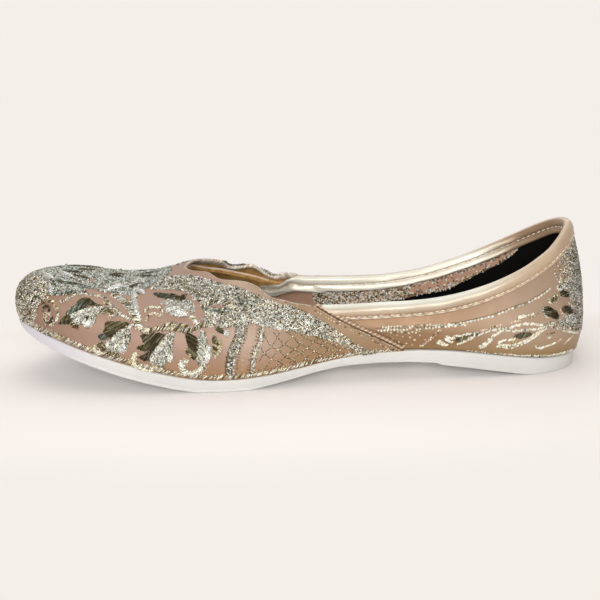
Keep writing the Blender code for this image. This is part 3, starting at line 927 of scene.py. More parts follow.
# thread work; charts give x along the shoe and a height on a plane tilted back, both in millimetres
threadTones = {
    "white": (255, 255, 250), "light": (236, 233, 216), "silver": (210, 213, 204), "cream": (248, 240, 216),
    "gold": (214, 200, 156), "mid": (160, 156, 134), "olive": (108, 102, 72), "dark": (66, 62, 42),
    "slate": (110, 117, 106), "teal": (154, 166, 152), "deepTeal": (76, 84, 68), "brown": (130, 106, 78),
    "deepBrown": (88, 68, 48), "rose": (230, 200, 180), "pearl": (236, 242, 236),
}
# a stitch's roof: how deep its sides are sunk, and how tall its ridge is for half its width
roof = {"sunk": 0.14, "tall": 1.1}
# strewn coils: how much their turn, tips and heights vary, and how strong the drifts of tone are
coils = {"swing": 0.3, "tip": 0.2, "arch": 0.16, "drift": 0.3, "widths": (0.8, 1.2)}
glitter = dict(light=2.8, silver=1.9, mid=1.8, olive=2, dark=2.1, white=2.8, gold=0.4, cream=1)


def surfaceTree(where, offset):
    # the outer face from the sole's edge to the rim, as a tree that threads are laid on
    total = ribTotals(where)
    heights = np.linspace(0, 1, 60)[None, :] * (total - 0.1)[:, None]
    points, normal = face(where, heights)
    rows, columns = points.shape[:2]
    places = (points + normal * offset).reshape(-1, 3)
    return BVHTree.FromPolygons(places.tolist(), gridFaces(rows, columns))


vampFace = {"tree": surfaceTree(bothWays(seamWay, 110), last["fit"] + last["vamp"]), "tilt": 40.0}
quarterFace = {"tree": surfaceTree(spread(seamWay - 12, wholeWay - seamWay, 150), 0.0), "tilt": 8.0}


def castChart(surface, chart):
    tilt = math.radians(surface["tilt"])
    turned = Matrix.Rotation(surface.get("turn", 0.0), 3, "Z")
    ahead = turned @ Vector((0, math.cos(tilt), -math.sin(tilt)))
    places, normals = [], []
    for x, up in chart:
        start = turned @ Vector((x, up * math.sin(tilt), up * math.cos(tilt))) - ahead * 300
        place, normal, _, _ = surface["tree"].ray_cast(start, ahead)
        if place is None:
            place, normal, _, _ = surface["tree"].find_nearest(start + ahead * 280)
        if normal.dot(ahead) > 0:
            normal = -normal
        places.append(place[:])
        normals.append(normal[:])
    return np.array(places), np.array(normals)


def chartPoints(line):
    # a chart line or outline is written as x, height, x, height and so on
    return np.reshape(line, (-1, 2)).astype(float)


def smoothChart(chart):
    step = 0.6
    chart = chartPoints(chart)
    padded = np.concatenate([[2 * chart[0] - chart[1]], chart, [2 * chart[-1] - chart[-2]]])
    found = []
    for p0, p1, p2, p3 in zip(padded, padded[1:], padded[2:], padded[3:]):
        count = max(2, int(np.linalg.norm(p2 - p1) / step))
        found.append(catmull(p0, p1, p2, p3, (np.arange(count) / count)[:, None]))
    return np.concatenate([*found, chart[-1:]])


def framePath(points, normals, spacing=0.4):
    way = wayAlong(points)
    even = np.linspace(0, way[-1], max(4, int(way[-1] / spacing)))
    points, normals = columnsAt(even, way, points), unit(columnsAt(even, way, normals))
    ahead = unit(np.gradient(points, axis=0))
    side = unit(np.cross(normals, ahead))
    return {"way": even, "points": points, "normals": normals, "ahead": ahead, "side": side}


def chartPath(surface, chart):
    return framePath(*castChart(surface, smoothChart(chart)))


def raisedPath(points, normals, offset):
    # from face() with one point at each station
    return framePath(points[:, 0] + normals[:, 0] * offset, normals[:, 0])


def ribPath(first, final, heights, offset, count=300):
    # a path that keeps its height above the sole's edge
    where = spread(first, final, count)
    tall = np.interp(np.linspace(0, 1, count), np.linspace(0, 1, len(heights)), heights)
    return raisedPath(*face(where, tall[:, None]), offset)


def along3(path, name, along):
    return columnsAt(along, path["way"], path[name])


def layOn(surface, path, along, across, lift):
    # places on the surface at distances along and across a path, raised off it
    spot = along3(path, "points", along) + along3(path, "side", along) * across[..., None]
    over = along - np.clip(along, 0, path["way"][-1])
    spot = spot + along3(path, "ahead", along) * over[..., None]
    own = along3(path, "normals", along)
    flat, flatOwn = spot.reshape(-1, 3), own.reshape(-1, 3)
    found, normals = np.empty_like(flat), np.empty_like(flat)
    nearest = surface["tree"].find_nearest
    for i, point in enumerate(flat.tolist()):
        place, normal, _, _ = nearest(point)
        found[i], normals[i] = place[:], normal[:]
    turned = np.sum(normals * flatOwn, axis=1) < 0
    normals[turned] *= -1
    normals = unit(normals + flatOwn)
    found = found.reshape(spot.shape) + normals.reshape(spot.shape) * lift[..., None]
    return found, normals.reshape(spot.shape)


def stitchTones(count, mix, jitter=0.16):
    names = list(mix)
    shares = np.array([mix[name] for name in names], float)
    picked = randomDraws.choice(len(names), count, p=shares / shares.sum())
    colours = np.array([srgb(*threadTones[name]) for name in names])[picked]
    return np.clip(colours * (1 + jitter * randomDraws.standard_normal((count, 1))), 0.004, 1)


def arched(steps):
    t = np.linspace(-1, 1, steps)
    return 1 - t**2


def shapeSides(shape, shares, swell):
    # its first and last entries are half the breadth or the low and high side; between them share, low, high
    first, *between, final = shape
    rows = [(0, *np.atleast_1d(first)), *between, (1, *np.atleast_1d(final))]
    share, low, high = np.array([(row[0], -row[1] * swell, row[-1] * swell) for row in rows], float).T
    return np.interp(shares, share, low), np.interp(shares, share, high)


def satin(surface, chart, shape, tone, pitch, slant, raised, width=0.5, ragged=0.25, steps=5, path=None,
          swell=1.0):
    # stitches side by side across a path
    path = path or chartPath(surface, chart)
    length = path["way"][-1]
    places = np.arange(pitch / 2, length, pitch)
    low, high = shapeSides(shape, places / length, swell)
    count = len(places)
    low = low + ragged * randomDraws.uniform(-1, 1, count)
    high = high + ragged * randomDraws.uniform(-1, 1, count)
    t = np.linspace(0, 1, steps)[None, :]
    across = low[:, None] + (high - low)[:, None] * t
    along = places[:, None] + slant * (across - (low + high)[:, None] / 2)
    plump = raised * np.minimum(1, np.abs(high - low) / 1.6)[:, None]
    lift = plump * arched(steps)[None, :] ** 0.6 + 0.04 * randomDraws.standard_normal((count, 1))
    points, normals = layOn(surface, path, along, across, lift)
    return points, normals, np.full(across.shape, width), stitchTones(count, tone)


def rope(surface, chart, wide, tone, pitch, raised, width):
    half = wide / 2
    shape = (half * 0.6, (0.08, half), (0.92, half), half * 0.6)
    return satin(surface, chart, shape, tone, pitch, 0.7, raised, width, 0.2)


def beads(surface, chart, tone, length, gap, width, raised, sway, turn=0.0, path=None):
    # short plump stitches one after another along a path
    path = path or chartPath(surface, chart)
    places = np.arange(length / 2, path["way"][-1], length + gap)
    count = len(places)
    t, arch = np.linspace(-0.5, 0.5, 4)[None, :], arched(4)[None, :]
    along = places[:, None] + t * length * math.cos(turn)
    across = t * length * math.sin(turn) + sway * randomDraws.standard_normal((count, 1))
    lift = np.repeat(raised * arch + 0.02, count, axis=0)
    points, normals = layOn(surface, path, along, across, lift)
    widths = width * (0.45 + 0.55 * np.repeat(arch**0.5, count, axis=0))
    return points, normals, widths, stitchTones(count, tone)


def insideOutline(points, outline):
    inside = np.zeros(len(points), bool)
    for (x0, y0), (x1, y1) in zip(outline, [*outline[1:], outline[0]]):
        crosses = (points[:, 1] > y0) != (points[:, 1] > y1)
        edge = x0 + (points[:, 1] - y0) * (x1 - x0) / (y1 - y0 if y1 != y0 else 1e-9)
        inside ^= crosses & (points[:, 0] < edge)
    return inside


def beadRows(surface, rows):
    # each row: chart line, how far it is moved on the chart, tones, sizes in the order that beads takes
    return [beads(surface, chartPoints(line) + moved, tone, *sizes) for line, moved, tone, *sizes in rows]


def fromEdge(points, outline):
    # how far inside an outline each point lies
    nearest = np.full(len(points), 1e9)
    for first, second in zip(outline, np.roll(outline, -1, axis=0)):
        span = second - first
        t = np.clip((points - first) @ span / max(span @ span, 1e-9), 0, 1)
        nearest = np.minimum(nearest, np.linalg.norm(points - first - t[:, None] * span, axis=1))
    return nearest


def strew(surface, outline, tone, density, length=(0.5, 1.15), width=0.4, heap=0.28, flow=0.0, cross=0.75,
          bare=(), feather=0.5, over=0.0):
    # short coils thrown over an outline, leaning to both sides of flow, an angle in degrees on the chart
    outline = chartPoints(outline)
    low, high = outline.min(axis=0), outline.max(axis=0)
    tries = int(density * np.prod(high - low))
    spots = randomDraws.uniform(low, high, (tries, 2))
    keep = insideOutline(spots, outline)
    for hole in bare:
        keep &= ~insideOutline(spots, chartPoints(hole))
    keep &= fromEdge(spots, outline) > feather * randomDraws.uniform(0, 1, tries) ** 2
    spots = spots[keep]
    places, normals = castChart(surface, spots)
    count = len(places)
    turn = math.radians(flow) + cross * randomDraws.choice((-1, 1), count)
    turn = turn + coils["swing"] * randomDraws.standard_normal(count)
    level = unit(np.cross(normals, np.array([0.0, 1.0, 0.0])))
    level *= np.where(level[:, :1] < 0, -1, 1)
    rising = unit(np.cross(normals, level))
    rising *= np.where(rising[:, 2:] < 0, -1, 1)
    heading = level * np.cos(turn)[:, None] + rising * np.sin(turn)[:, None]
    long = randomDraws.uniform(*length, count)
    t, arch = np.linspace(-0.5, 0.5, 3), arched(3)[None, :]
    tip = coils["tip"] * randomDraws.standard_normal(count)[:, None] * t[None, :]
    lift = over + heap * randomDraws.uniform(0, 1, count)[:, None] + coils["arch"] * arch + tip
    points = places[:, None] + heading[:, None] * (t[None, :] * long[:, None])[..., None]
    points += normals[:, None] * lift[..., None]
    widths = width * randomDraws.uniform(*coils["widths"], (count, 1)) * (0.6 + 0.4 * arch**0.5)
    # darker and lighter drifts a few millimetres across
    x, b = spots.T
    drift = np.sin(1.1 * x + 1.8 * np.sin(0.7 * b)) * np.sin(1.7 * b + 1.4 * np.sin(0.45 * x) + 0.4 * x)
    tones = stitchTones(count, tone) * (1 + coils["drift"] * drift[:, None])
    return points, np.repeat(normals[:, None], 3, axis=1), widths, tones


def lobeOutline(line, shape, swell=1.0):
    # a lobe's edge on the chart, from its middle line and its low and high sides
    path = smoothChart(line)
    way = wayAlong(path)
    low, high = shapeSides(shape, way / way[-1], swell)
    ahead = unit(np.gradient(path, axis=0))
    side = np.stack([-ahead[:, 1], ahead[:, 0]], axis=1)
    return np.concatenate([path + side * high[:, None], (path + side * low[:, None])[::-1]])


def stillOn(points):
    # stitches whose middle lies close to the outer face; the two sides' hems differ
    middles = points[:, points.shape[1] // 2].tolist()
    trees = vampFace["tree"], quarterFace["tree"]
    gaps = [min(tree.find_nearest(spot)[3] for tree in trees) for spot in middles]
    return np.array(gaps) < 1.0


def threadPiece(name, batches, bothSides=True, material=zariThread):
    # each stitch becomes a small three-edged roof, sunk a little into the ground
    groups = []
    for points, normals, widths, tone in batches:
        groups.append((points, normals, widths, tone, 1))
        if bothSides and len(points):
            turned = points * [1, -1, 1]
            kept = stillOn(turned)
            groups.append((turned[kept], normals[kept] * [1, -1, 1], widths[kept], tone[kept], -1))
    allPoints, allFaces, allTones, allRuns = [], [], [], []
    start = 0
    for points, normals, widths, tone, mirror in groups:
        count, steps = points.shape[:2]
        if not count:
            continue
        side = unit(np.cross(unit(np.gradient(points, axis=1)), normals))
        half = widths[..., None] / 2
        low = points - normals * roof["sunk"]
        ridge = points + normals * half * roof["tall"]
        ring = np.stack([low - side * half, ridge, low + side * half], axis=2)
        allPoints.append(ring.reshape(-1, 3))
        s, i, j = np.meshgrid(np.arange(count), np.arange(steps - 1), np.arange(2), indexing="ij")
        corner = start + (s * steps + i) * 3 + j
        quads = np.stack([corner, corner + 3, corner + 4, corner + 1], axis=-1).reshape(-1, 4)
        allFaces.append(quads if mirror > 0 else quads[:, ::-1])
        allTones.append(np.repeat(tone, steps * 3, axis=0))
        run = np.linalg.norm(np.diff(points, axis=1, prepend=points[:, :1]), axis=2).cumsum(axis=1)
        allRuns.append(np.repeat(run, 3, axis=1).ravel())
        start += count * steps * 3
    faces = np.concatenate(allFaces)
    piece = meshPiece(name, np.concatenate(allPoints), faces.tolist(), material)
    paintRun(piece.data, np.concatenate(allTones), np.concatenate(allRuns))
    print(name, "triangles", 2 * len(faces))


leafTones = {
    "dark": dict(dark=3, olive=2, deepBrown=1, mid=0.5),
    "shade": dict(deepTeal=2, slate=1.8, dark=1.6, olive=1, teal=0.4),
    "rib": dict(light=3, silver=2, white=2, mid=1.2, olive=0.7),
    "body": dict(silver=2.4, mid=1.6, light=2.6, olive=1.4, teal=0.8, white=1.6, dark=0.7),
    "bright": dict(white=5, light=1.6, pearl=2, mid=0.9),
    "brown": dict(brown=2, deepBrown=1.5, gold=0.8),
    "goldDark": dict(olive=2.4, dark=1.6, gold=1.4, brown=0.8, cream=0.6),
}
# each lobe: kind, chart line, sides as shapeSides reads them, slant, height
leaves = {
    "first": (
        ("dark", (-92.6, 10.9, -90, 12.3, -87.6, 11.6, -85.8, 10.4), (0.4, (0.4, 1.3, 1), 0.2), 0.8, 0.5),
        ("shade", (-97, 6.2, -93.5, 8, -90, 9.4, -86.6, 9.9), ((0.5, 0.6), (0.35, 2.1, 1.4), (0.75, 2, 1.6),
            (0.5, 0.3)), 1.1, 0.6),
        ("dark", (-87.5, 9.9, -84.6, 9.4, -81.8, 8.9), ((0.6, 0.9), (0.1, 0.2)), 0.6, 0.4),
        ("dark", (-100.6, 3.2, -97.6, 4.3, -94.8, 4.2), (0.1, (0.55, 1.4, 1.2), (1.9, 1.1)), 0.9, 0.5),
        ("brown", (-95.2, 2.3, -93.4, 1.2, -92.2, -0.3), ((0.5, 0.8), (0.5, 1.2), 0.2), 0.6, 0.4),
        ("body", (-94.4, 3.2, -90, 3.6, -86.6, 4.4, -83, 6), ((0.6, 0.9), (0.4, 1.8), (0.8, 1.4),
            (0.3, 0.4)), 0.8, 0.5),
        ("bright", (-90, 2, -88, 1.5, -86, 1.6, -84.8, 2.6), (0.3, (0.4, 1.5, 1.3), (0.4, 0.5)), 0.6, 0.6),
        ("dark", (-89.2, 3.9, -87, 3.7), (0.5, (0.5, 0.7), 0.4), 0.2, 0.75),
        ("rib", (-95, 4.7, -92, 5.8, -88, 6.6, -84.4, 7.6, -81.6, 8.3), ((0.9, 0.8), (0.5, 1), 0.5), 1.2,
            0.9),
        ("goldDark", (-82.6, 7, -80, 6.6, -77.2, 5.2), ((1.2, 1), (0.5, 1.3, 1.2), 0.6), 0.8, 0.5),
    ),
    "second": (
        ("dark", (-80, 1.4, -76.4, 0.3, -73, -0.8, -70.2, -1), (0.4, (0.35, 3, 1.7), (0.7, 1.7, 1.6), 0.2),
            1, 0.55),
        ("dark", (-80.4, -1.6, -77.6, -3.2, -74.8, -4.4), (0.6, (0.5, 1.9, 1.6), 1), 0.9, 0.5),
        ("shade", (-83.4, -3.4, -81.6, -4, -79.8, -4.8), ((0.3, 0.4), (0.5, 1.5, 1.3), (0.7, 0.8)), 0.5,
            0.5),
        ("goldDark", (-84.2, -6, -82, -7.4, -80.2, -8.6), ((0.3, 0.4), (0.5, 1.2, 1.5), 0.8), 0.6, 0.5),
        ("body", (-79.6, -8.4, -76, -7.6, -72.6, -5.6, -70.2, -2.6), (0.6, (0.4, 2.2, 1.2), (0.75, 1.9, 1),
            0.3), 0.9, 0.5),
        ("bright", (-75.4, -9, -73.4, -8.7, -71.4, -7.4), (0.5, (0.5, 1.5, 1.2), 0.4), 0.6, 0.7),
        ("rib", (-80.4, -7.2, -77.6, -5.8, -74.8, -3.9, -72.2, -2.3, -69, -0.4), (1, (0.5, 1.1), 0.6), 1.2,
            0.9),
        ("goldDark", (-80.6, -9.4, -78, -10.2, -75.4, -10.6), (0.5, (0.5, 0.8, 0.9), 0.3), 0.6, 0.45),
    ),
    "third": (
        ("dark", (-65.4, -4.6, -61.4, -5.8, -57, -6.2), (0.3, (0.4, 2.1, 1.9), (1.7, 1.5)), 0.8, 0.55),
        ("dark", (-67.4, -9, -63.6, -9, -58.6, -8.6), ((0.2, 0.3), (0.5, 1.5), 1.3), 0.8, 0.5),
        ("dark", (-66.6, -12.2, -63.8, -12.3, -60.6, -11.6), ((0.2, 0.3), (0.5, 1.4, 1.5), 1.2), 0.8, 0.5),
        ("body", (-52.4, -4.4, -54.4, -8.4, -56, -12, -59, -14.8), (0.6, (0.35, 2, 1.8), (0.7, 2.2, 1.8),
            0.6), 0.9, 0.5),
        ("bright", (-53.2, -11.4, -53.8, -13.2, -54.6, -14.4), (0.5, (0.5, 1, 1.1), 0.4), 0.5, 0.75),
        ("rib", (-52.2, -4, -55, -6.8, -58, -10, -61.8, -13.6), (0.7, (0.5, 1.2), 1.1), 1.2, 0.9),
        ("body", (-61.6, -13, -59, -14.8, -57.4, -16), (1, (0.5, 1.2), 0.5), 0.8, 0.5),
    ),
    "fourth": (
        ("dark", (-45, -5, -44.4, -8, -44.2, -11, -44.6, -13.8), ((1.4, 1.6), (0.3, 2), (0.7, 1.6), 0.4),
            0.9, 0.6),
        ("goldDark", (-47, -10.4, -45.8, -12.2, -44.8, -13.4), (0.3, (0.5, 0.8), 0.4), 0.8, 0.4),
        ("body", (-40, -4.2, -40.4, -8, -40.8, -12, -42.2, -15.8), (0.7, (0.35, 1.6, 1.7), (0.7, 1.7, 1.6),
            0.7), 0.9, 0.5),
        ("bright", (-38, -9.2, -38.2, -12, -39.6, -15), (0.4, (0.5, 1.4), 0.7), 0.6, 0.75),
        ("goldDark", (-35.6, -5.4, -35, -8.6, -35.6, -12.4), (0.3, (0.5, 1.5, 1.3), 0.3), 0.6, 0.5),
    ),
    "fifth": (
        ("shade", (-61.6, 15.8, -58, 14.6, -54.4, 12.8, -51.6, 11), ((0.2, 0.3), (0.4, 1.3, 1.2), 0.8), 0.9,
            0.5),
        ("dark", (-53.8, 14.8, -52.4, 13, -50.6, 11), (0.2, (0.5, 1.4), 1), 0.7, 0.5),
        ("dark", (-47.4, 14, -48.6, 12.2, -50.4, 10.6), (0.2, (0.5, 1.3), 0.8), 0.7, 0.5),
        ("rib", (-57.4, 10.4, -53.4, 9.8, -49.4, 7.8, -45.2, 5), ((0.7, 0.8), (0.4, 1.6, 1.5), (0.8, 1.4),
            0.7), 1.1, 0.7),
        ("body", (-47.6, 10.6, -45.8, 7.6, -44.4, 4.4), (1, (0.5, 1.2, 1.4), 0.5), 0.9, 0.5),
        ("bright", (-55.6, 7.6, -52.4, 5.8, -49.6, 4.2, -46, 3), ((0.5, 0.8), (0.35, 2, 1.6),
            (0.75, 1.5, 1.4), (0.3, 0.4)), 0.7, 0.75),
    ),
    "small": (
        ("dark", (-34.6, -2.6, -32.8, -3.8, -31.6, -5), ((0.3, 0.4), (0.5, 1), 0.3), 0.7, 0.4),
        ("bright", (-31.4, -3.4, -30.4, -5, -30, -6), (0.3, (0.5, 0.9), 0.3), 0.6, 0.5),
        ("shade", (-35.6, 4.6, -33, 4.4, -30.2, 3.2), (0.3, (0.5, 1.2, 1), 0.3), 0.8, 0.4),
    ),
}


# how much fuller each kind of lobe is sewn, and how thickly coils lie over it
lobeSwell = dict(dark=1.3, shade=1.25, body=1.3, rib=1.15, bright=1.2, goldDark=1.2, brown=1.1)
lobeCoils = dict(body=6.5, rib=6.5, bright=6.0, goldDark=3.0)
lobeEdgeTone = dict(light=2, cream=1.6, mid=1.4, olive=1.2, white=0.8)


def widened(batches, share):
    return [(points, normals, widths * share, tones) for points, normals, widths, tones in batches]


def sewLobe(surface, kind, line, shape, slant, raised):
    swell, density, tone = lobeSwell[kind], lobeCoils.get(kind), leafTones[kind]
    plump = raised * (0.6 if density else 1)
    batches = [satin(surface, line, shape, tone, 0.32, slant, plump, 0.42, swell=swell)]
    if density:
        x0, b0, *_, x1, b1 = line
        flow = math.degrees(math.atan2(b1 - b0, x1 - x0))
        outline = lobeOutline(line, shape, swell)
        over = raised * 0.5
        batches.append(strew(surface, outline, tone, density, (0.45, 1.0), 0.36, 0.3, flow, 0.7, over=over))
        edge = np.concatenate([outline, outline[:1]])
        batches.append(beads(surface, edge, lobeEdgeTone, 0.6, 0.2, 0.34, 0.25, 0.15, 0.9))
    return batches


def sewPlain(surface, lobes):
    return [satin(surface, line, shape, leafTones[kind], 0.36, slant, raised)
            for kind, line, shape, slant, raised in lobes]


def sewCurls(surface, curls):
    return [rope(surface, line, wide, tone, 0.55, 0.5, 0.55) for line, wide, tone in curls]


def makeLeaves():
    for name, lobes in leaves.items():
        threadPiece("zari_leaf_" + name, [batch for lobe in lobes for batch in sewLobe(vampFace, *lobe)])


braidTone = dict(light=3, gold=0.8, mid=1.8, olive=1.5, white=1.6, dark=0.6, rose=0.5)
brownBraid = dict(gold=1.8, brown=1.6, olive=1.6, light=2, cream=1.2, dark=0.6)
stemEdgeTone = dict(light=2, cream=2, white=1, mid=1, olive=0.8)
# each stem: chart line, breadth, tones
stems = (
    ((-99.8, 11.4, -96.3, 13, -94.2, 14.8, -91.5, 15.6, -88, 15.3, -84, 14.8, -81.6, 13.6, -80, 11.3,
        -78, 9, -75.6, 6.6, -73.2, 4.2, -70.4, 2.6, -68, 1), 0.5, braidTone),
    ((-82, 11.6, -80, 9.6, -78.2, 7.2, -76.4, 5.6), 0.45, brownBraid),
    ((-78.6, 16.2, -75.5, 13.6, -72.8, 11, -70.4, 7.6, -68.4, 4.4, -67, 1, -65.6, -2, -62.4, -3.2), 1.6,
        braidTone),
    ((-69.6, 17.4, -69.6, 13.6, -68.6, 9, -67.6, 5, -66.6, 1.4), 1.3, dict(white=3, light=2, pearl=2)),
    ((-79.8, 3, -77.6, 4.2, -75.2, 4.7, -72.4, 4, -70, 2.6), 0.5, braidTone),
    ((-66, -0.6, -63.4, -3, -60, -2.4, -56.6, -2.4, -53, -2.6, -49.4, -3.2, -45.6, -3.4, -42, -2.4,
        -39.4, -1.6, -37, -1.4), 1.1, brownBraid),
    ((-64.6, 5.6, -63.2, 7.6, -60.6, 8.2, -57.8, 7.4, -57, 4.8, -58.4, 2.6), 0.5, dict(light=2, cream=2,
        mid=1, gold=1)),
    ((-63.4, 1.2, -62.8, 3.4, -60.8, 4.8, -58.6, 4.2), 0.5, brownBraid),
    ((-67.6, -10.8, -69, -12.6, -68.8, -14.4, -67, -15.8, -64, -16.6, -61, -16.8), 1.3, dict(cream=3,
        light=2, gold=1)),
    ((-46.6, -14.8, -48.6, -14.8, -49.4, -16.2, -48, -18, -45, -18.6, -41.8, -17.6, -39.4, -15.6), 1.5,
        dict(light=3, white=1.6, mid=1)),
    ((-84.6, -6.8, -85.6, -8, -84, -9.4), 0.8, dict(light=2, gold=1)),
    ((-57, -1.6, -53.6, -0.6, -49.6, -1.2, -46, -1.8), 0.9, brownBraid),
    ((-45, 2.6, -43.6, 1, -42.4, -0.8, -40.4, -1.4), 1.3, braidTone),
    ((-103.3, 12.6, -101.8, 10, -100.8, 7.5, -101, 5.3, -102.8, 3.8, -105.5, 4.2, -107, 6.2, -106, 7.9,
        -104.2, 7.4), 0.6, dict(gold=2, cream=2, light=1, brown=1.6)),
    ((-108.4, 12.4, -106, 13.4, -103.8, 12.2), 0.9, dict(deepBrown=2, brown=1.4, gold=0.6)),
    ((-107.4, 6.9, -106.4, 4.9, -104.4, 4.8, -103.2, 6.2), 0.8, dict(deepBrown=2, brown=1)),
    ((-40.4, 6.4, -38.4, 8.6, -35, 9.2, -31, 8.8, -27.8, 7, -25.4, 5.4), 1.3, dict(olive=2, gold=1.4,
        light=2, dark=1)),
    ((-39.8, 6, -37.4, 4.8, -34, 5.2, -30.4, 5.6, -27.6, 5.2), 0.9, dict(teal=2, light=1, deepTeal=1.6)),
    ((-50.4, 18, -46.4, 16.8, -43.4, 14.4, -41.6, 12), 1.2, dict(brown=1, mid=2, olive=1, light=1)),
    ((-33.8, -6.8, -33.2, -9.2, -33.6, -11.6, -35.2, -13.2, -37, -12.6), 0.6, dict(gold=2, cream=2)),
)


def makeStems():
    batches = []
    for line, wide, tone in stems:
        batches.append(rope(vampFace, line, wide * 1.6, tone, 0.36, 0.6, 0.42))
        path = chartPath(vampFace, line)
        for side in (-1, 1):
            edge = {**path, "points": path["points"] + path["side"] * side * wide * 0.9}
            batches.append(beads(vampFace, None, stemEdgeTone, 0.7, 0.3, 0.42, 0.3, 0.12, 0.6 * side, edge))
    threadPiece("zari_stems", batches)


# patches of thrown coils on the vamp: outline, tones, how many a square millimetre, how they are combed
coolGlitter = dict(silver=3.4, slate=2, teal=2.6, deepTeal=1.6, pearl=2.4, mid=1.2, light=1.4, white=1)
warmGlitter = dict(gold=1.4, olive=1.8, light=3, brown=1.2, dark=1.8, cream=3, mid=0.8, white=2.6)
throatBare = (
    (-38.2, 7.8, -34, 8.2, -29.4, 6.6, -31, 5.9, -35, 6),
    (-43.4, 10.6, -40.6, 8.4, -38.8, 2, -41.6, 1, -43.6, 4.8),
)
throatBand = (
    ((-60, 27, -50, 26, -45, 24.4, -40, 22.4, -35, 19.8, -30, 18.2, -25, 17, -20, 14.6, -15, 12, -10, 9.6,
        -4, 8.8, 0, 7.2, 5.5, 4.6, 10.5, 1.8, 15, -1.2, 20, -4, 25, -6.2, 32, -8.6, 26, -9.4, 21, -7.6,
        12, -5, 5.5, -4.2, -3.5, -2.6, -10, -2.4, -15.6, -1, -20, -0.6, -25, -1.6, -30, -2.4, -35, -2.6,
        -38.6, -1.4, -41, 1, -42.6, 5, -43.6, 9.6, -46, 13.6, -51, 16.6, -58, 17.8, -63, 18.6), glitter,
        8.6, -14),
    ((-27, 13, -20, 12.4, -17, 9, -21, 6, -27, 7), dict(slate=2, deepTeal=2, dark=1, light=1), 3.6, -14),
    ((-24, 1.8, -18, 1.2, -12, 0.6, -5, 0, 0, -1.4, -5, -2.2, -12, -1.8, -18, -0.8, -24, -0.2),
        dict(white=4, light=1), 4.5, -8),
    ((-8, 5, -4, 5.2, -3, 2.4, -7, 2), dict(pearl=3, teal=1.2, white=1), 4.5, -14),
    ((-1.6, 4.4, 1.6, 4, 5.4, 2, 6.4, -0.4, 3.6, 0.2, 0, 2), dict(white=3, pearl=1.6), 4.8, -14),
    ((8, 0, 16, -3, 24, -6.4, 20, -7.4, 12, -4.6), dict(gold=2, light=2, olive=1.4, cream=1), 3.6, -20),
)
toePatches = (
    ((-124, 30, -116, 31, -109, 28, -104.4, 22, -103.8, 15.4, -106, 14, -109.6, 12, -110.6, 8.6,
        -113.4, 7.6, -119, 12.6, -124, 20), warmGlitter, 6.6, 40),
    ((-119, 13, -113, 8.2, -108.4, 3, -102, 0.4, -104, -1, -111, 3.4, -120, 10), warmGlitter, 3.4, -40),
    ((-118, 33, -108, 37, -96, 37.4, -84, 36, -72, 35, -62, 36, -56, 34, -57, 27, -63, 21, -68.6, 15.4,
        -76, 15.6, -79.6, 17.4, -84, 17, -89, 17.6, -93, 16.4, -99, 14.6, -104, 15, -106, 22, -112, 29),
        coolGlitter, 6.8, -10),
    ((-104, 15.4, -99, 14.6, -95.4, 14.6, -90, 16.8, -88, 19.6, -95, 21.4, -103, 21.6), dict(silver=2,
        deepTeal=2, slate=2, light=1.2, olive=1), 3.4, -18),
)
toeBare = (
    (-91.4, 29.6, -88.6, 29.6, -88.2, 24.8, -90.4, 24.6),
    (-92, 20, -86.8, 19.6, -81.6, 16.6, -84, 16.2, -89.4, 17.6),
    (-79.6, 16.4, -76.4, 17.4, -73, 13.6, -76, 13.4),
)
toeStrokes = (
    ("bright", (-113.6, 32, -110.4, 29.6, -107, 26.4, -104.6, 23.6), (0.8, (0.5, 2.1), 0.8), 0.8, 1.3),
    ("dark", (-113.4, 14.4, -111.6, 16, -109.6, 15.4, -109.2, 13.2), (0.4, (0.5, 0.6), 0.4), 0.6, 0.6),
    ("dark", (-108, 9.4, -106.6, 10.8, -104.8, 10, -104.6, 8.2), (0.4, (0.5, 0.6), 0.4), 0.6, 0.6),
    ("bright", (-105, 33, -101.4, 30, -97, 26.2), (0.5, (0.5, 2, 1.9), 0.5), 0.8, 1.3),
    ("bright", (-105.8, 21.4, -105, 18.6, -104.2, 15.8), (0.6, (0.5, 1.4), 0.5), 0.5, 1.1),
    ("bright", (-82.4, 17.4, -78.4, 21.4, -75, 24.4), (0.4, (0.5, 1.3), 0.4), 0.8, 1.2),
    ("shade", (-107, 25, -103, 24, -98.6, 22.4, -94, 22, -90.4, 20.6), (0.3, (0.5, 1.1, 1), 0.4), 0.8, 0.7),
    ("dark", (-98, 30, -94.6, 28.6, -91, 27.4), (0.4, (0.5, 1.4, 1.2), 0.5), 0.8, 0.7),
    ("shade", (-106, 33, -100, 33.4, -95, 32), (0.3, (0.5, 1.1), 0.3), 0.8, 0.7),
    ("body", (-98.6, 19.4, -94, 18.4, -90, 16.8), (0.5, (0.5, 1.3), 0.5), 0.8, 0.6),
    ("bright", (-77, 22.4, -75, 21.6, -73.2, 20.4), (0.4, (0.5, 1.2), 0.4), 0.8, 0.7),
    ("dark", (-73.6, 20.4, -71.2, 22, -68.6, 24), (0.4, (0.5, 1.2), 0.4), 0.8, 0.7),
    ("bright", (-70, 19.6, -67.6, 18, -65.6, 15.8), (0.5, (0.5, 1.4), 0.4), 0.8, 0.7),
    ("dark", (-84, 32, -80, 30.6, -76, 30), (0.3, (0.5, 1), 0.3), 0.8, 0.7),
    ("shade", (-72, 31, -67, 30, -62, 29.4), (0.3, (0.5, 1.1), 0.3), 0.8, 0.7),
)


def makeGlitter():
    for name, patches, bare in (("throat_band", throatBand, throatBare), ("toe", toePatches, toeBare)):
        threadPiece("zari_" + name, [strew(vampFace, outline, tone, density, flow=flow, bare=bare)
                                     for outline, tone, density, flow in patches])
    threadPiece("zari_toe_feathers", sewPlain(vampFace, toeStrokes))


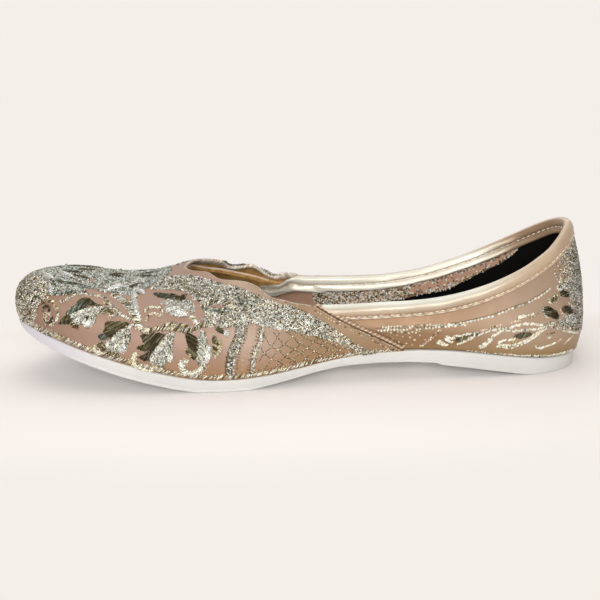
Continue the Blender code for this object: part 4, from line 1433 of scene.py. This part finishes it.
sideBands = {
    "thick": (-24.2, 0.4, -24.6, -3, -25.4, -6.5, -27.2, -10, -28.9, -14.5, -29.4, -19),
    "thickBreadth": ((2.2, 2.4), (0.4, 2, 2.1), (1.7, 1.8)),
    "thin": (-15.8, -1, -16.2, -5, -17, -8, -18.8, -11, -20, -15, -20.8, -19.5),
    "comb": (-19.8, -1, -20.2, -6, -22.2, -10.5, -24, -15, -24.6, -19),
}


def makeSideBands():
    thick, thin, comb = (sideBands[name] for name in ("thick", "thin", "comb"))
    edges = lobeOutline(thick, sideBands["thickBreadth"]), lobeOutline(thin, (1, 0.9))
    bandTone = dict(light=3, silver=1.4, mid=1, olive=1.4, white=3, dark=1.2, cream=1.4)
    teeth = dict(deepBrown=2, brown=2, gold=0.6)
    batches = [
        strew(vampFace, edges[0], bandTone, 9.5, (0.5, 1.1), 0.38, 0.8, 68, 0.75, feather=0.9),
        strew(vampFace, edges[1], bandTone, 8.0, (0.5, 1.0), 0.36, 0.4, 68, 0.75),
    ]
    batches += beadRows(vampFace, (
        (thick, (-1.9, 0), dict(dark=3, deepBrown=1, olive=1), 1.5, -0.5, 0.42, 0.55, 0.1, 0.9),
        (thick, (-0.5, 0), dict(dark=1, olive=2, mid=1), 0.8, 0.5, 0.5, 0.8, 0.4, 0.5),
        (thick, (1.1, 0), dict(white=4, light=1), 0.9, 0.4, 0.65, 0.7, 0.35, 0.4),
        (thick, (2.5, 0), teeth, 0.9, 0.35, 0.34, 0.25, 0.05, 1.2),
        (thin, 0, dict(light=3, white=3, mid=1, cream=1), 1.0, 0.15, 0.8, 0.45, 0.2, 0.5),
        (thin, (-1.0, 0), dict(dark=3, olive=1.4), 0.8, 0.4, 0.42, 0.35, 0.12, 0.9),
        (thin, (0.9, 0), dict(mid=2, light=2, olive=1), 0.8, 0.4, 0.5, 0.3, 0.25, -0.6),
        (comb, (-2.2, 0), teeth, 0.9, 0.35, 0.3, 0.12, 0.05, 1.4),
        (comb, (2.0, 0), teeth, 1.1, 0.35, 0.34, 0.12, 0.05, 1.4),
        (comb, (0.2, 0), dict(rose=3, cream=1), 1.2, 0.9, 0.26, 0.08, 0.5, 1.3),
    ))
    threadPiece("zari_side_bands", batches)


# net of crossed double lines on the vamp's side: rising lines, falling lines
netLines = {
    "rising": (
        (-17.6, -14.6, -15.4, -11.6, -12.4, -9.2, -9.8, -5.4, -8.4, -2.4),
        (-15.8, -17.2, -12.4, -13.4, -9.6, -9.9, -7, -7.8, -3.4, -4.6, -2, -2.6),
        (-11.6, -16.6, -8.6, -13.6, -5.6, -11.2, -2.4, -9.2, 0.2, -6.4, 2.2, -3.9),
        (-6.8, -15.6, -3.8, -13, -0.6, -10.4, 2.6, -8.4, 5.2, -6, 7.6, -4.6),
        (-2, -14.6, 1.6, -12, 5.4, -9.2, 9, -7, 12, -5.2),
        (4.2, -12.8, 8, -10.4, 11.6, -8.2, 15, -6.4),
        (9.6, -11.6, 13, -9.6, 16.4, -7.8, 19.6, -7),
    ),
    "falling": (
        (-15, -5.2, -12.4, -9.2, -9.6, -9.9, -6.6, -12.4, -3.8, -13, -1.4, -15),
        (-16.6, -9.6, -15.4, -11.6, -12.4, -13.4, -9.4, -14, -7.2, -15.8),
        (-11.4, -3.4, -9.8, -5.4, -7, -7.8, -3.8, -9, -0.6, -10.4, 1.6, -12, 4, -13.2),
        (-6.4, -2.8, -3.4, -4.6, -1.6, -6.6, 2.6, -8.4, 5.4, -9.2, 8, -10.4, 10.4, -11.6),
        (-0.2, -3.4, 2.2, -5, 5.2, -6, 9, -7, 11.6, -8.2, 14.4, -9.6),
        (6, -4.2, 9.6, -5.6, 13.4, -6.6, 16.4, -7.8),
    ),
}


def makeNet():
    batches = []
    for lines in netLines.values():
        for line in lines:
            batches += beadRows(vampFace, (
                (line, 0, dict(deepBrown=3, olive=1, brown=1.6), 1.5, 0.05, 0.36, 0.1, 0.03),
                (line, (0.3, 0.4), dict(cream=1.4, gold=2, rose=1.4, olive=1), 0.7, 0.5, 0.32, 0.16, 0.1),
            ))
    knots = np.concatenate([chartPoints(line)[1:-1] for line in netLines["rising"]])
    knot = (-0.6, -0.2, 0.6, 0.3)
    knotTone = dict(cream=2, gold=1, light=1)
    batches += beadRows(vampFace, [(knot, spot, knotTone, 1.1, 0.2, 0.6, 0.35, 0.02) for spot in knots])
    threadPiece("zari_net", batches)


featherTone = dict(gold=2, cream=3, light=2.4, olive=1.2, brown=0.8, white=1.2, dark=0.4)
featherLine = {
    # above the sole's edge, from toe to seam; where along the edge it starts; how much higher its dots lie
    "heights": (1.9, 1.8, 1.6, 1.5, 1.4), "from": 0.3, "dotsAbove": 1.3,
    "breadth": (1.3, (0.3, 1.1), (0.65, 0.8), 0.5),
}


def edgePath(station, low, high, offset):
    points, normals = face(station, np.linspace(low, high, 80)[None, :])
    return framePath(points[0] + normals[0] * offset, normals[0])


def makeFeatherLine():
    offset = last["fit"] + last["vamp"]
    start, heights = featherLine["from"], featherLine["heights"]
    path = ribPath(start, seamWay - 2.5, heights, offset)
    batches = [satin(vampFace, None, featherLine["breadth"], featherTone, 0.34, 0.8, 0.3, 0.34, 0.5, 4, path)]
    dotted = ribPath(start, seamWay - 6, [height + featherLine["dotsAbove"] for height in heights], offset)
    # picots along the throat's edge and in front of the seam
    where = spread(seamWay * 0.62, seamWay - 1.0, 200)
    edge = raisedPath(*face(where, (ribTotals(where) - 0.8)[:, None]), offset)
    front, beside = np.full(1, seamWay - 4.2), np.full(1, seamWay - 0.9)
    seamPath = edgePath(front, 1.5, ribTotals(front)[0] - 3.5, offset)
    # a fine stitched line beside the rope
    ropeSide = edgePath(beside, 1.0, ribTotals(beside)[0] - 0.5, offset)
    for path, tone, sizes in (
        (dotted, dict(gold=2, cream=2, olive=1.4, brown=1), (0.7, 0.6, 0.42, 0.3, 0.3, 0.9)),
        (edge, dict(light=2, gold=1.6, cream=2, mid=1), (0.9, 0.35, 0.45, 0.3, 0.08, 0.5)),
        (seamPath, dict(gold=2, cream=2.4, olive=1.4, brown=1), (0.9, 0.4, 0.55, 0.35, 0.12, 0.3)),
        (ropeSide, dict(rose=2, cream=2, brown=0.6), (1.0, 0.35, 0.4, 0.25, 0.05, 0.2)),
    ):
        batches.append(beads(vampFace, None, tone, *sizes, path))
    threadPiece("zari_feather_line", batches)


rimWhip = {
    "pitch": 0.34,
    "slant": 0.35,
    "width": 0.46,
    "bend": ((0.3, 1.05), (-0.05, 0.8), (0.0, 0.3), (0.45, -0.2), (1.2, -0.25)),
    "near": (-50, 0.8, 5, 0.8),
    "far": (-52, 2.2, -44, 2.6, -36, 2.5, -32, 1.4, -29, 0.6, -12, 0.8, -8, 2, -3, 2.4, 0, 2),
    "tones": dict(rose=3, silver=1.6, light=3),
    # how unevenly they are spaced and reach, and the edge's middle: how deep, how far out
    "jitter": 0.06, "uneven": (0.85, 1.15), "middle": (0.5, 0.75),
}


def makeRimWhip():
    # short stitches along the inner side of the throat's scalloped edge
    where = bothWays(seamWay - 2, 300)
    edge, _ = face(where, ribTotals(where)[:, None])
    way = wayAlong(edge[:, 0])
    places = np.arange(0.3, way[-1], rimWhip["pitch"])
    count = len(places)
    places = places + randomDraws.uniform(-rimWhip["jitter"], rimWhip["jitter"], count)
    bend = np.array(rimWhip["bend"])
    steps = len(bend)
    lean = np.linspace(-1, 1, steps) * rimWhip["slant"]
    flat = np.interp(places[:, None] + lean[None, :], way, where).ravel()
    edgeX, edgeY = topCurve(flat)[:, :2].T
    reach = np.where(edgeY < 0, follow(edgeX, rimWhip["near"]), follow(edgeX, rimWhip["far"]))
    reach = np.where(np.tile(np.arange(steps), count) > 2, reach, 1.0)
    uneven = randomDraws.uniform(*rimWhip["uneven"], count).repeat(steps)
    total = ribTotals(flat)
    points, normals = face(flat, total[:, None] - (np.tile(bend[:, 0], count) * reach * uneven)[:, None])
    points = points[:, 0] + normals[:, 0] * np.tile(bend[:, 1], count)[:, None]
    # the roof of each stitch looks away from the edge's middle
    deep, out = rimWhip["middle"]
    middle, _ = face(flat, (total - deep)[:, None])
    away = unit(points - (middle[:, 0] + normals[:, 0] * out))
    shape = (count, steps, 3)
    widths = np.full((count, steps), rimWhip["width"])
    batch = (points.reshape(shape), away.reshape(shape), widths, stitchTones(count, rimWhip["tones"]))
    threadPiece("zari_rim_whip", [batch], False, whipThread)


# seam stitches in the binding: how far below the edge and out from the wall, length, gap, breadth, tones
bindingSeams = {
    "outer": (5.2, 1.0, 1.75, 0.6, 0.4, dict(white=1.4, light=1, cream=3, rose=1.6)),
    "inner": (2.4, -3.05, 1.3, 1.3, 0.42, dict(white=3, cream=2, rose=1)),
}


def makeBindingSeams():
    for name, (below, out, length, gap, width, tones) in bindingSeams.items():
        outside = name == "outer"
        first = seamWay + 2.2 if outside else whereIs(-7.0, topCurve)
        where = spread(first, wholeWay - first, 1100)
        edgeX = topCurve(where)[:, 0]
        level = below * follow(edgeX, binding["breadth" if outside else "innerBreadth"])
        level = level - riseOf(edgeX, where > wholeWay / 2)
        if outside:
            stand = binding["outTop"] + (out - binding["outTop"]) * follow(edgeX, binding["flatter"])
        else:
            foldTop, foldLow = foldSides(edgeX)
            share = below - binding["foldFrom"]
            led = foldTop + (foldLow - foldTop) * share / binding["foldDeep"] - underCut(where)
            level = level + (1 - softStep(edgeX, 1.0, 9.0)) * (led - level)
            stand = np.full(len(where), out)
        points, normals = wallSection(where, level[:, None], stand[:, None])
        path = framePath(points[:, 0], normals[:, 0] * (1 if outside else -1), 0.3)
        starts = np.arange(0.5, path["way"][-1] - length, length + gap)
        along = starts[:, None] + np.linspace(0, 1, 6)[None, :] * length
        bow = arched(6)[None, :] ** 0.5
        spots = along3(path, "points", along) + along3(path, "normals", along) * (0.3 * bow - 0.12)[..., None]
        widths = np.repeat(width * (0.5 + 0.5 * bow), len(starts), axis=0)
        batch = (spots, along3(path, "normals", along), widths, stitchTones(len(starts), tones, 0.08))
        threadPiece("binding_seam_" + name, [batch], False, seamThread)


# on the quarters
quarterBorder = {
    "upper": (34, 18.7, 43, 18.9, 50, 19.1, 56, 19.2, 62, 19.2, 66, 19.6, 70, 20.4, 75, 21.3, 80, 22.6,
        85, 24.2, 90, 26, 95, 27.6, 100, 30, 105, 33),
    "lower": (32, 17.5, 40, 17.5, 46, 17.6, 50, 17.6, 55, 17.9, 58, 18.4, 62, 18.5, 69, 18.9),
    "third": (36, 16.6, 44, 16.3, 49, 16.2, 51, 16.4),
    "dots": (38.8, 13.6, 41.4, 12.2, 43, 14.6, 44.6, 11.5, 46, 14.2, 48, 13, 50.2, 15, 40.6, 15.2, 47, 10.8,
             52.4, 13, 43.6, 10.4),
    "slanting": (50, 10, 52.4, 11.8, 55.2, 14.4, 58.4, 17.4),
}


def makeQuarterBorder():
    shine = dict(light=3, white=1.6, cream=1.4, mid=1)
    shade = dict(brown=2, deepBrown=1.4, olive=1)
    upper, lower, third = (chartPoints(quarterBorder[name]) for name in ("upper", "lower", "third"))
    batches = beadRows(quarterFace, (
        (upper[:5], 0, shine, 0.9, 0.35, 0.75, 0.4, 0.2),
        (upper[4:], 0, shine, 1.3, 0.2, 0.8, 0.45, 0.12, 0.25),
        # a dark brown row just above the upper line, painted shade over its beads
        (upper[4:], (0, 0.55), shade, 1.0, 0.3, 0.4, 0.15, 0.05),
        (lower, 0, shine, 1.1, 0.25, 0.85, 0.5, 0.2),
        (lower, (0, 0.8), dict(mid=2, olive=2, light=1), 0.8, 0.7, 0.55, 0.3, 0.3),
        (third, 0, dict(cream=2, gold=1, olive=1), 0.8, 0.7, 0.6, 0.35, 0.25),
    ))
    dot, dotTone = (-0.6, 0, 0.6, 0.15), dict(rose=2, cream=1.4)
    batches += beadRows(quarterFace, [
        (dot, spot, dotTone, 0.9, 0.4, 0.65, 0.35, 0.02) for spot in chartPoints(quarterBorder["dots"])
    ])
    slantTone = dict(rose=2, cream=2, brown=0.6)
    slanting = quarterBorder["slanting"]
    batches += beadRows(quarterFace, [
        (slanting, (moved, 0), slantTone, 1.2, 0.25, 0.4, 0.25, 0.04) for moved in (0, 0.9)
    ])
    threadPiece("zari_quarter_border", widened(batches, 1.25), True, whipThread)


curlTone = dict(cream=3, light=2.4, gold=1.2, white=1)
outlineTone = dict(light=3, cream=2, mid=1.2, white=1, teal=0.5)
quarterCurls = (
    ((57.4, 12.2, 59, 12.1, 60, 11, 61.8, 10.3), 1.4, curlTone),
    ((57.2, 11.6, 58.6, 10.8, 60.4, 10.2), 0.8, curlTone),
    ((60.6, 13.6, 62, 12.2, 63.6, 11.6), 1.2, curlTone),
    ((61, 14.6, 62.4, 13.6, 64, 13.4, 64.6, 14.4), 1.3, curlTone),
    ((65.6, 10.8, 68, 11.6, 70, 12.8, 71.4, 14.2), 0.8, curlTone),
    ((64.4, 14.8, 66.6, 14.4, 69, 15, 72, 15.4, 74.6, 15.6), 0.8, outlineTone),
    ((70.6, 12.4, 72.6, 14.2, 75, 15, 77.5, 15.9, 81, 16.8, 85, 17.6), 0.9, outlineTone),
    ((74.4, 9.6, 76, 10.2, 77.6, 11.6, 79.4, 13, 81.6, 14.6, 84, 16.4, 87, 17.4, 90, 18.3, 93.5, 18.9,
        97, 18.8, 100.4, 18.2, 103.6, 17.2), 1.0, outlineTone),
    ((75.2, 9, 76.8, 9.6, 78.6, 11.4, 80.4, 13), 1.2, curlTone),
    ((78.4, 11.4, 79.4, 13.4, 81, 15, 83.4, 16), 0.7, outlineTone),
    ((75.4, 16.4, 79, 17.4, 82, 18.4, 84.4, 19.2), 0.55, dict(cream=2, rose=2, brown=1)),
    ((83.4, 16.2, 86, 16.4, 88.6, 16, 92, 16.3, 95.6, 16.5, 99, 16.5, 102.4, 17.3), 0.8, outlineTone),
    ((82.2, 9.8, 84.6, 9.2, 87.6, 8.8, 91, 9.6, 94, 10.9, 97, 12.6, 99.6, 14.2, 102.6, 16), 0.7,
        outlineTone),
    ((83, 10.6, 85.4, 10.2, 88.4, 10, 91.4, 10.8, 94.4, 12, 97.2, 13.8, 100, 15.4, 103.6, 16.7), 0.8,
        curlTone),
    ((82.4, 10.8, 83.8, 11.8, 86, 12.3, 88, 12.3, 90, 13), 0.8, curlTone),
    ((82, 9.4, 83.6, 10.2, 85, 9.6), 1.1, curlTone),
    ((90.6, 20.8, 92.2, 21.6, 94.2, 22.2, 96.6, 22.7, 99.2, 23.1), 0.8, outlineTone),
    ((91, 21.6, 92.4, 22.4, 94, 22.6), 0.7, curlTone),
    ((96, 21.2, 98, 22, 99.8, 22.8), 0.6, dict(brown=2, gold=1)),
    ((88, 19.4, 90, 20.2, 92, 20.4), 0.5, dict(rose=2, cream=1)),
    ((98.4, 9.4, 99.4, 8.4, 101, 8.2, 103.2, 9, 105.4, 9.4, 107.6, 10), 0.8, curlTone),
    ((104, 12.8, 105, 12.4), 1.2, curlTone),
    ((103.4, 14.4, 105.4, 14.2, 107.2, 14.6), 0.6, dict(brown=2, gold=1.4)),
    ((107, 9.6, 108.6, 10.6, 110.4, 11.4), 0.6, dict(rose=2, cream=1, brown=1)),
    ((111.6, 8.8, 113, 10, 114.6, 11.2, 116.4, 12), 0.6, dict(cream=2, rose=1)),
    ((110.4, 14.9, 113, 14.4, 116, 13.6, 119, 12.8), 0.8, dict(cream=2, light=2)),
    ((86, 12.4, 88, 11.6, 90.4, 11.4), 0.6, dict(brown=1, gold=1)),
)
quarterLobes = (
    ("goldDark", (65, 12.6, 67.4, 13.4, 70, 14), (0.6, (0.5, 1.2, 1), 0.5), 0.7, 0.4),
    ("goldDark", (71, 14.4, 73, 15, 75.4, 15.2), (0.5, (0.5, 0.8), 0.3), 0.7, 0.4),
    ("dark", (89.4, 13.9, 92, 14.2, 94.6, 14.2, 96.8, 14.6), (0.4, (0.4, 1.5, 1.2), (0.8, 1, 0.8), 0.3),
        0.8, 0.5),
    ("goldDark", (84, 9.6, 87, 9.4, 89, 9.8), (0.3, (0.5, 0.6), 0.3), 0.7, 0.3),
)


def makeQuarterMotifs():
    batches = sewCurls(quarterFace, quarterCurls) + sewPlain(quarterFace, quarterLobes)
    path = ribPath(whereIs(70, footCurve), wholeWay / 2 - 0.4, (0.7, 0.9, 1.3, 1.6), 0.0, 200)
    tone = dict(cream=3, light=2, rose=1, gold=1.6, brown=0.6, white=1)
    shape = (0.15, (0.45, 0.4), (0.7, 0.8, 0.9), (1.1, 1.2))
    batches.append(satin(quarterFace, None, shape, tone, 0.5, 0.6, 0.3, 0.44, 0.35, path=path))
    threadPiece("zari_quarter_motifs", widened(batches, 1.1), True, whipThread)


# seen from behind; its chart gives y instead of x
backFace = {"tree": quarterFace["tree"], "tilt": 8.0, "turn": math.pi / 2}
backGlitter = (-21, 16, -21.6, 26, -18, 36, -12, 43, -6, 48, 0.3, 50, 0.3, 14, -12, 13.4)
palmette = (
    ("dark", (102.8, 25.6, 104.4, 24, 106.4, 22, 108.2, 20.2), ((0.8, 0.9), (0.4, 1.9), (0.8, 1.2, 1.3),
        0.3), 0.8, 0.6),
    ("goldDark", (105, 27.6, 106.8, 28.7, 108.8, 29.8), (0.5, (0.5, 1.1), 0.3), 0.8, 0.5),
    ("dark", (110, 31.8, 111.8, 30.8, 113.6, 29), (0.6, (0.5, 1.5, 1.4), 0.6), 0.8, 0.6),
    ("dark", (111, 25, 112.8, 24, 114.8, 22), (0.6, (0.5, 1.5), 0.8), 0.8, 0.6),
    ("bright", (113, 20.4, 115, 19, 117, 18.2), (0.8, (0.5, 1.7), 0.6), 0.7, 0.6),
)
heelGlitter = (
    ((116.6, 50, 119, 49, 122, 40, 123.6, 30, 124, 20, 123.6, 12.8, 119, 13.2, 114.6, 14.6, 110, 15.4,
        106, 16, 102.6, 16.6, 101, 17.8, 104, 19.4, 108, 19, 110.4, 21, 113, 22.4, 113.6, 27.6, 111.4, 31.6,
        109, 31.4, 107.8, 35, 109.6, 36.4, 113, 36.6, 115, 42), dict(light=3, mid=1.4, silver=2.2,
        olive=1.4, dark=1.2, gold=0.8, teal=0.6, white=2.4, cream=1.4), 6.6),
    ((112, 21.6, 117, 21.6, 119, 17.6, 114, 16), dict(pearl=2, teal=2, slate=1), 3.6),
)
petalEdges = (
    ((102, 26, 101.7, 24.2, 102.4, 22.4, 104, 21), 0.8, outlineTone),
    ((104.6, 29, 104.4, 27.6, 106, 26.8), 0.7, outlineTone),
    ((108.6, 34.4, 108.6, 32.6, 109.4, 31.2), 0.9, outlineTone),
    ((109.8, 24.6, 110, 23, 111.4, 21.8), 0.7, dict(rose=2, cream=1)),
)


def makePalmette():
    batches = [strew(quarterFace, outline, tone, density, heap=0.1, feather=3.0, flow=55)
               for outline, tone, density in heelGlitter]
    batches.append(strew(backFace, backGlitter, heelGlitter[0][1], 4.5, heap=0.1, feather=2.5, flow=55))
    for lobe in palmette:
        batches += sewLobe(quarterFace, *lobe)
    threadPiece("zari_heel_palmette", batches + sewCurls(quarterFace, petalEdges))


def makeLiningGlitter():
    count = liningGlitter["count"]
    reach = [whereIs(x, topCurve) for x in liningGlitter["ends"]]
    off = last["wall"] + linings["offset"] + linings["thick"] + liningGlitter["off"]
    t, arch = np.linspace(-0.5, 0.5, 4), arched(4)
    for side in ("left", "right"):
        where = randomDraws.uniform(*reach, count * 2)
        dense = follow(topCurve(where)[:, 0], liningGlitter["dense"])
        where = where[randomDraws.uniform(0, 1, len(where)) < dense][:count]
        low, high = liningLow(where), underTotals(where) - 2.5
        share = randomDraws.uniform(0, 1, len(where))
        # farther back the coils gather near the lining's two edges
        edges = np.where(share < 0.5, share**2 * 1.6, 1 - (1 - share) ** 2 * 1.6)
        share = np.where(topCurve(where)[:, 0] > liningGlitter["gathers"], edges, share)
        tall = low + (np.maximum(high, low + 0.4) - low) * share
        points, normals = face(where if side == "left" else wholeWay - where, tall[:, None])
        # its front corner is rounded
        corner = 6.5 + 5.0 * np.clip(np.abs(share - 0.45) * 2, 0, 1) ** 3
        kept = points[:, 0, 0] > corner
        points, inward = points[kept, 0], -normals[kept, 0]
        found = len(points)
        places = points + inward * off
        level = unit(np.cross(inward, np.array([0.0, 0.0, 1.0])))
        turn = randomDraws.uniform(0, np.pi, found)[:, None]
        heading = level * np.cos(turn) + np.cross(inward, level) * np.sin(turn)
        long = randomDraws.uniform(*liningGlitter["lengths"], found)
        stitches = places[:, None] + heading[:, None] * (t[None, :] * long[:, None])[..., None]
        stitches = stitches + inward[:, None] * (liningGlitter["arch"] * arch)[None, :, None]
        widths = np.repeat(liningGlitter["width"] * (0.6 + 0.4 * arch)[None, :], found, axis=0)
        tones = stitchTones(found, liningGlitter["tones"])
        batch = (stitches, np.repeat(inward[:, None], 4, axis=1), widths, tones)
        threadPiece("zari_lining_" + side, [batch], False, whipThread)


makeRimWhip()
makeBindingSeams()
makeLiningGlitter()
makeLeaves()
makeStems()
makeGlitter()
makeSideBands()
makeNet()
makeFeatherLine()
makeQuarterBorder()
makeQuarterMotifs()
makePalmette()
print("threads laid")

# stage, lights and camera
camera = {"elevation": 15.0, "distance": 480.0, "lens": 65.1, "roll": 1.5, "aim": (0.0, 0.0, 28.45)}


def makeCamera():
    aim = Vector(camera["aim"]) * mm
    angle = math.radians(camera["elevation"])
    eye = aim + Vector((0, -math.cos(angle), math.sin(angle))) * camera["distance"] * mm
    data = bpy.data.cameras.new("camera")
    data.lens = camera["lens"]
    data.clip_start = 0.01
    made = newObject("camera", data)
    turn = (aim - eye).to_track_quat("-Z", "Y").to_matrix().to_4x4()
    roll = Matrix.Rotation(math.radians(-camera["roll"]), 4, "Z")
    made.matrix_world = Matrix.Translation(eye) @ turn @ roll
    bpy.context.scene.camera = made


studio = {
    "backdrop": srgb(245, 239, 234),
    "paper": (0.775, 0.748, 0.734),
    "glow": 0.1,
    "clear": (135.0, 290.0),  # from here out the paper turns from lit to evenly glowing, in mm
    "squash": 4.6,  # how much nearer that is across the shoe, squared
    "behind": (50.0, 3.0),  # past this line behind the shoe it turns sooner, by this share
    # in mm: its front edge, where it begins to bend up and how wide the bend is, half its width, its top
    "floor": {"front": -2200, "flat": 900, "bend": 700, "half": 3200, "top": 3200},
    "worldGlow": (0.12, 0.5),
    # name: place in mm, size in mm, power in W, colour
    "lights": {
        "overhead": ((-20, 60, 560), (520, 380), 1.0, (1.0, 0.985, 0.965)),
        "fill": ((-80, -600, 240), (460, 200), 2.95, (1.0, 0.985, 0.965)),
        "frontLeft": ((-420, -420, 300), (200, 200), 0.25, (1.0, 0.99, 0.98)),
        "frontRight": ((400, -420, 260), (200, 200), 0.22, (1.0, 0.97, 0.94)),
        "behind": ((80, 480, 300), (420, 200), 0.35, (0.97, 0.985, 1.0)),
    },
}


def makeStage():
    front, flat, half, top = (studio["floor"][name] for name in ("front", "flat", "half", "top"))
    radius = studio["floor"]["bend"]
    turns = np.linspace(0.1, math.pi / 2, 16)
    bend = [(flat + radius * math.sin(a), radius - radius * math.cos(a)) for a in turns]
    rows = [(front, 0), (flat, 0), *bend, (flat + radius, top)]
    points = [(x, y, z) for y, z in rows for x in (-half, half)]
    faces = [[2 * i, 2 * i + 1, 2 * i + 3, 2 * i + 2] for i in range(len(rows) - 1)]
    mesh = bpy.data.meshes.new("floor")
    mesh.from_pydata([tuple(c * mm for c in p) for p in points], [], faces)
    mesh.shade_smooth()
    floor = newObject("floor", mesh)
    material, tree, shader = newMaterial("floor_paper")
    _, parts = splitPlace(tree)
    flatX, flatY = (mathNode(tree, "MULTIPLY", parts[i], parts[i]) for i in (0, 1))
    away = mathNode(tree, "SQRT", mathNode(tree, "MULTIPLY_ADD", flatY, studio["squash"], flatX))
    line, sooner = studio["behind"]
    past = mathNode(tree, "MAXIMUM", mathNode(tree, "SUBTRACT", parts[1], line * mm), 0.0)
    away = mathNode(tree, "MULTIPLY_ADD", past, sooner, away)
    share = mapRange(tree, away, *(value * mm for value in studio["clear"]))
    glow = mapRange(tree, share, 0.0, 1.0, studio["glow"], 1.0, "LINEAR")
    black = (0.0, 0.0, 0.0)
    feed(tree, shader.inputs, {
        "Base Color": mixColour(tree, share, studio["paper"], black),
        "Emission Color": mixColour(tree, glow, black, studio["backdrop"]),
        "Roughness": 1.0, "Specular IOR Level": 0.0, "Emission Strength": 1.0,
    })
    mesh.materials.append(material)


def makeLights():
    for name, (place, size, power, colour) in studio["lights"].items():
        data = bpy.data.lights.new(name, "AREA")
        data.shape = "RECTANGLE"
        data.size, data.size_y = size[0] * mm, size[1] * mm
        data.energy = power
        data.color = colour
        lamp = newObject(name, data)
        lamp.location = Vector(place) * mm
        lamp.rotation_euler = (Vector((0, 0, 30)) * mm - lamp.location).to_track_quat("-Z", "Y").to_euler()
    world = bpy.data.worlds.new("studio")
    world.use_nodes = True
    tree = world.node_tree
    _, parts = splitPlace(tree, "Generated")
    strength = mapRange(tree, parts[2], -0.05, 0.75, *studio["worldGlow"])
    feed(tree, tree.nodes["Background"].inputs, {"Strength": strength, "Color": studio["backdrop"]})
    bpy.context.scene.world = world
    bpy.context.scene.view_settings.view_transform = "Standard"


makeCamera()
makeStage()
makeLights()
print("studio made")
